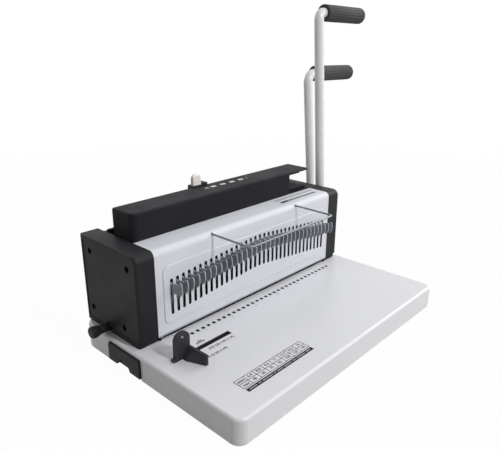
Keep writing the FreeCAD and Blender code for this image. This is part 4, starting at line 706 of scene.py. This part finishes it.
class MeshMaker:
    """Collects simple shapes, in millimetres from a datum, into one mesh."""

    def __init__(self, datum: Vector) -> None:
        """Start an empty mesh whose coordinates are counted from a point in metres."""
        self.datum = datum
        self.bm = bmesh.new()

    def point(self, x: float, y: float, z: float) -> Vector:
        """A point in metres."""
        return self.datum + Vector((x, y, z)) * MM

    def plate(self, corners: Sequence[Point]) -> None:
        """Add one flat face by its corner points in order."""
        self.bm.faces.new([self.bm.verts.new(self.point(*corner)) for corner in corners])

    def rectangle(self, x0: float, x1: float, y0: float, y1: float, z: float) -> None:
        """Add a level rectangle that faces up."""
        self.plate(((x0, y0, z), (x1, y0, z), (x1, y1, z), (x0, y1, z)))

    def around(self, x: float, y: float, half: tuple[float, float], z: float) -> None:
        """Add a level rectangle round a point, by half its width and half its depth."""
        self.rectangle(x - half[0], x + half[0], y - half[1], y + half[1], z)

    def turned(self, profile: Sequence[tuple[float, float]], centre: Point, axis: Point,
               sides: int) -> None:
        """Add a body of revolution.

        Args:
            profile: (distance along the axis, radius) pairs from one end to the other.
            centre: where distance 0 lies.
            axis: the direction of the axis.
            sides: how many faces go round.
        """
        along = Vector(axis).normalized()
        side = along.orthogonal().normalized()
        other = along.cross(side)
        rings = []
        for distance, radius in profile:
            ring = []
            for index in range(sides):
                angle = 2 * math.pi * index / sides
                offset = (side * math.cos(angle) + other * math.sin(angle)) * radius
                place = Vector(centre) + along * distance + offset
                ring.append(self.bm.verts.new(self.datum + place * MM))
            rings.append(ring)
        for first, second in zip(rings, rings[1:]):
            for index in range(sides):
                following = (index + 1) % sides
                self.bm.faces.new((first[index], first[following], second[following], second[index]))
        self.bm.faces.new(list(reversed(rings[0])))
        self.bm.faces.new(rings[-1])

    def block(self, low: Point, high: Point) -> None:
        """Add a box.

        Args:
            low: its lowest corner.
            high: its highest corner.
        """
        made = bmesh.ops.create_cube(self.bm, size=1.0)["verts"]
        middle = (Vector(low) + Vector(high)) / 2
        size = Vector(high) - Vector(low)
        for vert in made:
            place = Vector((vert.co.x * size.x, vert.co.y * size.y, vert.co.z * size.z)) + middle
            vert.co = self.datum + place * MM

    def finish(self, name: str, body: str, finish: Finish, smooth: float = 0.0) -> bpy.types.Object:
        """Turn the shapes into a piece that rides on a body.

        Args:
            name: the piece's name.
            body: the body that it rides on.
            finish: its finish.
            smooth: edges flatter than this many degrees are shaded smooth.

        Returns:
            The piece.
        """
        bmesh.ops.recalc_face_normals(self.bm, faces=self.bm.faces)
        mesh = bpy.data.meshes.new(name)
        self.bm.to_mesh(mesh)
        self.bm.free()
        if smooth:
            mesh.shade_smooth()
            mesh.set_sharp_from_angle(angle=math.radians(smooth))
        return add_piece(name, body, mesh, finish)


@dataclass(frozen=True)
class ScrewHead:
    """A small screw's head, from its seat over its rim down into its recess."""

    radius: float
    outline: tuple[tuple[float, float], ...]
    sides: int

    def profile(self) -> list[tuple[float, float]]:
        """Each height with its radius, from the outline's shares of the full radius."""
        return [(height, self.radius * share) for height, share in self.outline]


@dataclass(frozen=True)
class Caption:
    """A short run of plain figures printed on a surface."""

    words: str
    x: float
    y: float
    height: float


def printed(name: str, body: str, finish: Finish, captions: Iterable[Caption], datum: Vector,
            lift: float) -> None:
    """Lay printed figures on a level surface.

    Args:
        name: the piece's name.
        body: the body that it rides on.
        finish: the ink.
        captions: what is printed, and where.
        datum: the point in metres that places are counted from.
        lift: height in millimetres above the datum.
    """
    collected = bmesh.new()
    for caption in captions:
        curve = bpy.data.curves.new(name + "_words", "FONT")
        curve.body = caption.words
        curve.size = caption.height * MM * FONT_SCALE
        curve.align_x = "CENTER"
        curve.align_y = "CENTER"
        curve.resolution_u = FONT_STEPS
        curve.offset = caption.height * MM * STROKE_GROWTH
        carrier = bpy.data.objects.new(name + "_words", curve)
        mesh = bpy.data.meshes.new_from_object(carrier)
        mesh.transform(Matrix.Translation(datum + Vector((caption.x, caption.y, lift)) * MM))
        collected.from_mesh(mesh)
        bpy.data.objects.remove(carrier)
        bpy.data.curves.remove(curve)
        bpy.data.meshes.remove(mesh)
    mesh = bpy.data.meshes.new(name)
    collected.to_mesh(mesh)
    collected.free()
    add_piece(name, body, mesh, finish)


# ---------------------------------------------------------------- sub-assemblies


@dataclass
class Layout:
    """Where the hole row, the deck and the panel are, read from the solid parts."""

    origin: Vector = field(init=False)
    pitch: float = 8.467
    holes: int = 34
    face_inset: float = 1.0

    def __post_init__(self) -> None:
        """Find the row's middle, the panel's face and the deck's height."""
        low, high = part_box("punch_pins")
        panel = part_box("front_panel")[0].y
        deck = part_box("die_plate")[1].z
        self.origin = Vector(((low.x + high.x) / 2, panel + self.face_inset * MM, deck))

    def at_height(self, height: float) -> Vector:
        """The row's middle at another height in metres."""
        return Vector((self.origin.x, self.origin.y, height))

    def row(self) -> list[float]:
        """X of each hole in millimetres from the row's middle."""
        return [self.pitch * (index - (self.holes - 1) / 2) for index in range(self.holes)]


@dataclass
class SubAssembly:
    """A group of solid parts with their finishes, and the fittings added to it."""

    FINISHES: ClassVar[dict[str, Finish]] = {}

    layout: Layout

    def build(self) -> None:
        """Dress the solid parts, then add the fittings."""
        for node, finish in self.finishes().items():
            PAINTBOX.dress(node, finish)
            LOG.info("%s wears %s", node, finish.name)
        self.add_fittings()

    def finishes(self) -> dict[str, Finish]:
        """What each solid part wears."""
        return self.FINISHES

    def add_fittings(self) -> None:
        """Add what the solid parts leave out; nothing here by default."""


@dataclass
class Base(SubAssembly):
    """The moulded base with its plate, feet and the marks printed on its deck."""

    FINISHES: ClassVar[dict[str, Finish]] = {
        "base_shell": DECK_PAINT, "base_plate": ZINC_PLATE, "rubber_feet": FOOT_RUBBER,
        "base_screws": SCREW_STEEL}

    mark_y: float = -12.6
    mark_size: float = 4.4
    number_every: int = 5
    number_drop: float = 6.0
    number_height: float = 1.9
    table_x: tuple[float, float] = (-155.0, -52.0)
    table_y: tuple[float, float] = (-126.3, -111.5)
    table_sizes: tuple[str, ...] = ("mm", "6.4", "8.0", "9.5", "11", "12.7", "14.3", "16")
    table_sheets: tuple[str, ...] = ("max", "40", "60", "75", "90", "100", "120", "140")
    unit_height: float = 4.4
    size_height: float = 3.7
    sheet_height: float = 3.5
    line: float = 0.75
    bar_y: tuple[float, float] = (-133.0, -128.0)
    core_inset: float = 3.0
    core_gap: float = 2.0
    core_half: float = 0.7
    core_lengths: tuple[float, ...] = (11.0, 4.0, 15.0, 3.0, 9.0, 12.0, 5.0, 14.0, 7.0)
    slot_x: tuple[float, float] = (-173.0, -91.3)
    slot_y: tuple[float, float] = (-44.1, -38.6)
    slot_depth: float = 2.9
    liner_wall: float = 0.18
    liner_gap: float = 0.02
    slot_border: float = 0.6
    tick_first: float = -133.6
    tick_step: float = 2.6
    tick_half: float = 0.75
    tick_foot: float = -34.4
    tick_heights: tuple[float, ...] = (2.6, 4.0, 6.0, 5.0, 3.0)
    bracket: tuple[Strip, ...] = ((-131.5, -126.0, -49.4, -48.8), (-131.5, -130.9, -52.6, -49.4))
    guide_captions: tuple[Caption, ...] = (
        Caption("3.5 (25-120 x 34)", -112.0, -50.6, 3.7),
        Caption("14 (2-20 x 34)", -130.0, -61.6, 3.7))

    def add_fittings(self) -> None:
        """Print the deck's marks and line the guide's slot."""
        self.print_hole_marks()
        self.print_table()
        self.print_table_bar()
        self.line_slot()
        self.print_guide_marks()

    def print_hole_marks(self) -> None:
        """One dark square for each hole, and a number by every fifth."""
        maker = MeshMaker(self.layout.origin)
        half = self.mark_size / 2
        row = self.layout.row()
        for x in row:
            maker.around(x, self.mark_y, (half, half), INK_LIFT)
        maker.finish("hole_marks", "base", INK_BLACK)
        numbers = [Caption(str(index + 1), row[index], self.mark_y - self.number_drop, self.number_height)
                   for index in range(self.number_every - 1, self.layout.holes, self.number_every)]
        printed("hole_numbers", "base", INK_GREY, numbers, self.layout.origin, INK_LIFT)

    def print_table(self) -> None:
        """A ruled table: wire sizes above sheet counts, each row led by its unit."""
        maker = MeshMaker(self.layout.origin)
        x0, x1 = self.table_x
        y0, y1 = self.table_y
        thin = self.line / 2
        middle = (y0 + y1) / 2
        edges = spread(x0, x1, len(self.table_sizes) + 1)
        for y in (y0, middle, y1):
            maker.rectangle(x0 - thin, x1 + thin, y - thin, y + thin, INK_LIFT)
        for x in edges:
            maker.rectangle(x - thin, x + thin, y0, y1, INK_LIFT + INK_STEP)
        maker.finish("table_lines", "base", INK_BLACK)
        captions = []
        for k, (size, count) in enumerate(zip(self.table_sizes, self.table_sheets)):
            x = (edges[k] + edges[k + 1]) / 2
            height = self.size_height if k else self.unit_height
            captions.append(Caption(size, x, (middle + y1) / 2, height))
            captions.append(Caption(count, x, (y0 + middle) / 2, self.sheet_height))
        printed("table_figures", "base", INK_BLACK, captions, self.layout.origin, INK_LIFT)

    def print_table_bar(self) -> None:
        """The solid bar below the table with a broken pale line along its middle."""
        x0, x1 = self.table_x
        y0, y1 = self.bar_y
        bar = MeshMaker(self.layout.origin)
        bar.rectangle(x0, x1, y0, y1, INK_LIFT)
        bar.finish("table_bar", "base", INK_BLACK)
        core = MeshMaker(self.layout.origin)
        middle = (y0 + y1) / 2
        x = x0 + self.core_inset
        for length in self.core_lengths:
            core.rectangle(x, x + length, middle - self.core_half, middle + self.core_half,
                           INK_LIFT + 2 * INK_STEP)
            x += length + self.core_gap
        core.finish("table_bar_core", "base", INK_PALE)

    def line_slot(self) -> None:
        """Black lining on the walls of the guide's slot, and the border printed round it."""
        liner = MeshMaker(self.layout.origin)
        for x0, x1, y0, y1 in ring_strips(self.slot_x, self.slot_y, -self.liner_gap, self.liner_wall):
            liner.block((x0, y0, -self.slot_depth), (x1, y1, 0.0))
        liner.finish("slot_liner", "base", TRIM_BLACK)
        border = MeshMaker(self.layout.origin)
        for strip in ring_strips(self.slot_x, self.slot_y, self.slot_border, 0.0):
            border.rectangle(*strip, INK_LIFT)
        border.finish("slot_border", "base", INK_BLACK)

    def print_guide_marks(self) -> None:
        """Bars, a bracket and figures beside the guide's slot."""
        maker = MeshMaker(self.layout.origin)
        for k, height in enumerate(self.tick_heights):
            x = self.tick_first + self.tick_step * k
            maker.rectangle(x - self.tick_half, x + self.tick_half, self.tick_foot, self.tick_foot + height,
                            INK_LIFT)
        for strip in self.bracket:
            maker.rectangle(*strip, INK_LIFT)
        maker.finish("guide_ticks", "base", INK_BLACK)
        printed("guide_numbers", "base", INK_BLACK, self.guide_captions, self.layout.origin, INK_LIFT)


@dataclass
class Tower(SubAssembly):
    """Side frames, die, pin guide and the ties that hold them."""

    FINISHES: ClassVar[dict[str, Finish]] = {
        "side_frame_left": FRAME_PAINT, "side_frame_right": FRAME_PAINT, "frame_screws": SCREW_STEEL,
        "tie_rods": ZINC_PLATE, "die_plate": TOOL_STEEL, "pin_guide": SHADED_DARK_STEEL,
        "throat_spacers": TOOL_STEEL, "die_bolts": SCREW_STEEL, "guide_posts": TOOL_STEEL,
        "post_bar": FRAME_STEEL, "punch_bushes": BUSH_BRONZE, "closing_bushes": BUSH_BRONZE,
        "return_springs": SPRING_STEEL, "press_gibs": TRIM_BLACK, "closing_anvil": FRAME_PAINT,
        "rack_guides": TRIM_BLACK, "hood_screws": SCREW_STEEL}


@dataclass
class Casing(SubAssembly):
    """Front panel, end covers, rear cover and hood."""

    FINISHES: ClassVar[dict[str, Finish]] = {
        "front_panel": PANEL_PAINT, "left_end_cover": COVER_BLACK, "right_end_cover": COVER_BLACK,
        "rear_cover": REAR_PAINT, "top_hood": HOOD_BLACK, "cover_screws": SCREW_STEEL}

    scale_y: float = 59.0
    tile_first: float = -19.1
    tile_step: float = 16.6
    tile_size: tuple[float, float] = (7.9, 5.2)
    tile_lift: float = 0.04
    tile_figures: tuple[str, ...] = ("8", "10", "12", "14")
    figure_height: float = 2.6
    figure_lift: float = 0.07
    stripes_before: tuple[float, float] = (13.5, 10.0)
    stripe_half: tuple[float, float] = (0.6, 3.0)
    dash_after: float = 11.5
    dash_half: tuple[float, float] = (1.6, 0.5)
    rule_x: tuple[float, float] = (66.5, 144.0)
    rule_y: float = 17.2
    rule_head: float = 16.0
    rule_head_half: float = 2.5
    tooth_count: int = 22
    tooth_inset: tuple[float, float] = (18.5, 1.0)
    tooth_half: float = 1.1
    tooth_down: tuple[float, float] = (1.6, 2.4)
    tooth_up: float = 2.0
    mark_count: int = 28
    mark_overrun: float = 4.0
    mark_half: float = 0.7
    mark_rise: float = 8.8
    mark_heights: tuple[float, float] = (3.2, 4.6)
    long_every: int = 3
    rear_screw: ScrewHead = ScrewHead(
        2.6, ((0.0, 1.0), (0.5, 1.0), (1.1, 0.86), (1.4, 0.55), (1.45, 0.3), (0.7, 0.26)), 28)
    rear_screw_inset: tuple[float, float] = (9.0, 10.0)

    def add_fittings(self) -> None:
        """Print the hood's and the panel's scales and add the rear cover's screws."""
        self.print_hood_scale()
        self.print_panel_rule()
        self.add_rear_screws()

    def print_hood_scale(self) -> None:
        """White tiles with sizes beside the slider's way, between two stripes and a dash."""
        datum = self.layout.at_height(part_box("top_hood")[1].z)
        maker = MeshMaker(datum)
        wide, deep = self.tile_size
        captions = []
        for k, figure in enumerate(self.tile_figures):
            x = self.tile_first + self.tile_step * k
            maker.around(x, self.scale_y, (wide / 2, deep / 2), self.tile_lift)
            captions.append(Caption(figure, x, self.scale_y, self.figure_height))
        for before in self.stripes_before:
            maker.around(self.tile_first - before, self.scale_y, self.stripe_half, self.tile_lift)
        dash = self.tile_first + (len(self.tile_figures) - 1) * self.tile_step + self.dash_after
        maker.around(dash, self.scale_y, self.dash_half, self.tile_lift)
        maker.finish("hood_tiles", "base", INK_WHITE)
        printed("hood_numbers", "base", INK_BLACK, captions, datum, self.figure_lift)

    def print_panel_rule(self) -> None:
        """A dark rule with fine marks behind it on the panel's top."""
        datum = self.layout.at_height(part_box("front_panel")[1].z)
        rule = MeshMaker(datum)
        x0, x1 = self.rule_x
        y = self.rule_y
        rule.rectangle(x0, x0 + self.rule_head, y - self.rule_head_half, y + self.rule_head_half, INK_LIFT)
        before, after = self.tooth_inset
        short, long = self.tooth_down
        for k, x in enumerate(spread(x0 + before, x1 - after, self.tooth_count)):
            down = short if k % self.long_every else long
            rule.rectangle(x - self.tooth_half, x + self.tooth_half, y - down, y + self.tooth_up, INK_LIFT)
        rule.finish("panel_rule", "base", INK_BLACK)
        marks = MeshMaker(datum)
        foot = y + self.mark_rise
        short, long = self.mark_heights
        for k, x in enumerate(spread(x0, x1 + self.mark_overrun, self.mark_count)):
            tall = short if k % self.long_every else long
            marks.rectangle(x - self.mark_half, x + self.mark_half, foot, foot + tall, INK_LIFT)
        marks.finish("panel_marks", "base", INK_GREY)

    def add_rear_screws(self) -> None:
        """Pan-head screws round the rear cover's edge."""
        low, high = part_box("rear_cover")
        middle = (low + high) / 2
        datum = Vector((middle.x, high.y, middle.z))
        half_x = (high.x - low.x) / 2 / MM - self.rear_screw_inset[0]
        half_z = (high.z - low.z) / 2 / MM - self.rear_screw_inset[1]
        head = self.rear_screw
        maker = MeshMaker(datum)
        for x in (-half_x, 0.0, half_x):
            for z in (-half_z, half_z):
                maker.turned(head.profile(), (x, 0.0, z), (0.0, 1.0, 0.0), head.sides)
        maker.finish("rear_screws", "base", SCREW_STEEL, smooth=SMOOTH_BELOW)


@dataclass
class Ram(SubAssembly):
    """Pressure bar with pins, hook plates, lugs and yokes."""

    FINISHES: ClassVar[dict[str, Finish]] = {
        "pressure_bar": SHADED_DARK_STEEL, "punch_pins": TOOL_STEEL, "release_hooks": HOOK_STEEL,
        "ram_lugs": FRAME_STEEL, "ram_yokes": FRAME_STEEL}


class LeverRole(Enum):
    """The two levers, by the word that their parts' names begin with."""

    PUNCH = "punch"
    CLOSING = "closing"


@dataclass
class Lever(SubAssembly):
    """One lever with its shaft, cranks, hub, tube and grip."""

    FINISHES: ClassVar[dict[str, Finish]] = {
        "shaft": TOOL_STEEL, "cranks": FRAME_STEEL, "rollers": TOOL_STEEL, "hub": LEVER_PAINT,
        "hub_screw": SCREW_STEEL, "handle_tube": LEVER_PAINT, "grip": GRIP_RUBBER}

    role: LeverRole

    def finishes(self) -> dict[str, Finish]:
        """What this lever's parts wear, by their full names.

        Returns:
            A finish for each node; the closing shaft also has a spacer.
        """
        extra = {"spacer": TRIM_BLACK} if self.role is LeverRole.CLOSING else {}
        return {f"{self.role.value}_{part}": finish for part, finish in {**self.FINISHES, **extra}.items()}


@dataclass
class Press(SubAssembly):
    """The press bar and its web."""

    FINISHES: ClassVar[dict[str, Finish]] = {"press_bar": FRAME_PAINT, "press_web": FRAME_PAINT}


@dataclass
class Controls(SubAssembly):
    """Size slider, wire rack, margin knob, depth stop, edge guide and chip tray."""

    FINISHES: ClassVar[dict[str, Finish]] = {
        "size_slider": TRIM_BLACK, "size_knob": KNOB_WHITE, "size_stop": ZINC_PLATE,
        "wire_rack": RACK_CHROME, "margin_shaft": ZINC_PLATE, "margin_knob": COVER_BLACK,
        "depth_stop": ZINC_PLATE, "edge_guide": TRIM_BLACK, "guide_shoe": ZINC_PLATE,
        "chip_tray": TRAY_BLACK, "tray_face": COVER_BLACK}

    tab_front: float = -43.4
    tab_screw: ScrewHead = ScrewHead(
        1.5, ((0.0, 1.0), (0.25, 0.96), (0.45, 0.7), (0.5, 0.42), (0.1, 0.36)), 24)
    tab_screw_at: tuple[float, float] = (-162.1, 25.3)

    def add_fittings(self) -> None:
        """Add the small screw on the guide's tab."""
        origin = self.layout.origin
        head = self.tab_screw
        x, z = self.tab_screw_at
        maker = MeshMaker(Vector((origin.x, origin.y + self.tab_front * MM, origin.z)))
        maker.turned(head.profile(), (x, 0.0, z), (0.0, -1.0, 0.0), head.sides)
        maker.finish("guide_tab_screw", "guide", SCREW_STEEL, smooth=SMOOTH_BELOW)


# ------------------------------------------------------------------------ studio


@dataclass(frozen=True)
class Lamp:
    """A soft rectangular lamp aimed at the machine."""

    name: str
    place: Point
    target: Point
    size: tuple[float, float]
    power: float
    colour: Colour = WHITE

    def build(self) -> None:
        """Hang the lamp and turn it to its target."""
        data = bpy.data.lights.new(self.name, "AREA")
        data.shape = "RECTANGLE"
        data.size, data.size_y = self.size
        data.energy = self.power
        data.color = self.colour
        lamp = bpy.data.objects.new(self.name, data)
        lamp.location = self.place
        lamp.rotation_euler = (Vector(self.target) - Vector(self.place)).to_track_quat("-Z", "Y").to_euler()
        bpy.context.scene.collection.objects.link(lamp)
        LOG.info("lamp %s at %s", self.name, self.place)


@dataclass
class Studio:
    """White room: floor, soft lamps, pale world and the camera."""

    lamps: tuple[Lamp, ...] = (
        Lamp("front_key", (1.6, -1.6, 1.3), (0.0, 0.0, 0.12), (1.8, 1.4), 17.5, (1.0, 0.995, 0.985)),
        Lamp("right_key", (2.4, -0.3, 1.3), (0.0, 0.0, 0.12), (1.2, 1.2), 32.0, (1.0, 0.995, 0.985)),
        Lamp("overhead", (0.2, 0.3, 2.2), (0.0, 0.0, 0.1), (1.8, 1.8), 8.5, (0.97, 0.98, 1.0)),
        Lamp("front_top", (0.0, -1.5, 1.4), (0.0, 0.0, 0.12), (0.10, 0.4), 20.0, (0.98, 0.99, 1.0)),
        Lamp("rear_fill", (-0.3, 2.4, 1.2), (0.0, 0.1, 0.12), (1.5, 1.0), 10.0),
    )
    world_light: float = 0.205
    world_tint: Colour = (1.0, 0.972, 0.93)
    floor_radius: float = 1.6
    floor_sides: int = 96
    floor_fade: tuple[float, float] = (0.6, 1.5)
    floor_colour: Colour = (0.52, 0.51, 0.49)
    floor_rough: float = 0.9
    floor_own_white: float = 0.975
    sensor_mm: float = 36.0
    clip_range: tuple[float, float] = (0.01, 50.0)
    focal_px: float = 524.128
    image_px: float = 500.0
    yaw: float = 46.878
    pitch: float = 19.402
    roll: float = 0.255
    camera_at: Point = (-0.520886, -0.395307, 0.348854)

    def build(self) -> None:
        """Build the floor, the light and the camera."""
        self.build_floor()
        self.build_world()
        for lamp in self.lamps:
            lamp.build()
        self.build_camera()
        bpy.context.scene.view_settings.view_transform = "Standard"

    def white_when_seen(self, graph: Graph) -> bpy.types.NodeSocket:
        """Mask that is 1 for rays from the camera, in mirrors and through glass.

        Args:
            graph: where the nodes go.

        Returns:
            The mask's socket.
        """
        path = graph.add("LightPath")
        seen = graph.maths("MAXIMUM", path.outputs["Is Camera Ray"], path.outputs["Is Glossy Ray"])
        return graph.maths("MAXIMUM", seen, path.outputs["Is Transmission Ray"])

    def build_floor(self) -> None:
        """A round pale floor that is white where no shadow falls and fades into the backdrop."""
        disc = bmesh.new()
        bmesh.ops.create_circle(disc, cap_ends=True, radius=self.floor_radius, segments=self.floor_sides)
        mesh = bpy.data.meshes.new("floor")
        disc.to_mesh(mesh)
        disc.free()
        floor = bpy.data.objects.new("floor", mesh)
        bpy.context.scene.collection.objects.link(floor)
        material = bpy.data.materials.new("floor_white")
        material.use_nodes = True
        graph = Graph(material.node_tree)
        shader = material.node_tree.nodes["Principled BSDF"]
        shader.inputs["Base Color"].default_value = (*self.floor_colour, 1.0)
        shader.inputs["Roughness"].default_value = self.floor_rough
        shader.inputs["Specular IOR Level"].default_value = 0.0
        glow = graph.add("Emission")
        glow.inputs["Color"].default_value = (*WHITE, 1.0)
        glow.inputs["Strength"].default_value = 1.0
        place = graph.add("TexCoord")
        reach = graph.add("VectorMath", operation="LENGTH")
        graph.join(place.outputs["Object"], reach.inputs[0])
        share = graph.ramp(reach.outputs["Value"], *self.floor_fade, self.floor_own_white, 1.0)
        mix = graph.add("MixShader")
        graph.join(graph.times(self.white_when_seen(graph), share), mix.inputs[0])
        graph.join(shader.outputs[0], mix.inputs[1])
        graph.join(glow.outputs[0], mix.inputs[2])
        graph.join(mix.outputs[0], material.node_tree.nodes["Material Output"].inputs["Surface"])
        mesh.materials.append(material)

    def build_world(self) -> None:
        """A world that is white where it is seen and gives a weak, slightly warm light."""
        world = bpy.data.worlds.new("studio")
        world.use_nodes = True
        bpy.context.scene.world = world
        graph = Graph(world.node_tree)
        background = world.node_tree.nodes["Background"]
        seen = self.white_when_seen(graph)
        graph.join(graph.blend(seen, self.world_tint, WHITE), background.inputs["Color"])
        strength = graph.maths("ADD", graph.times(seen, 1.0 - self.world_light), self.world_light)
        graph.join(strength, background.inputs["Strength"])

    def build_camera(self) -> None:
        """The camera, from its place, its turn and its focal length."""
        data = bpy.data.cameras.new("camera")
        data.sensor_width = self.sensor_mm
        data.lens = self.focal_px / self.image_px * data.sensor_width
        data.clip_start, data.clip_end = self.clip_range
        yaw, pitch, roll = (math.radians(angle) for angle in (self.yaw, self.pitch, self.roll))
        ahead = Vector((math.sin(yaw) * math.cos(pitch), math.cos(yaw) * math.cos(pitch), -math.sin(pitch)))
        level = Vector((math.cos(yaw), -math.sin(yaw), 0.0))
        upright = level.cross(ahead)
        right = level * math.cos(roll) + upright * math.sin(roll)
        up = upright * math.cos(roll) - level * math.sin(roll)
        camera = bpy.data.objects.new("camera", data)
        turn = Matrix((right, up, -ahead)).transposed().to_4x4()
        camera.matrix_world = Matrix.Translation(Vector(self.camera_at)) @ turn
        bpy.context.scene.collection.objects.link(camera)
        bpy.context.scene.camera = camera


def main() -> None:
    """Dress the machine and light it."""
    logging.basicConfig(level=logging.INFO, format="%(name)s: %(message)s")
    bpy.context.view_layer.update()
    layout = Layout()
    for part in (Base(layout), Tower(layout), Casing(layout), Ram(layout), Lever(layout, LeverRole.PUNCH),
                 Lever(layout, LeverRole.CLOSING), Press(layout), Controls(layout)):
        part.build()
    Studio().build()


if __name__ == "__main__":
    main()
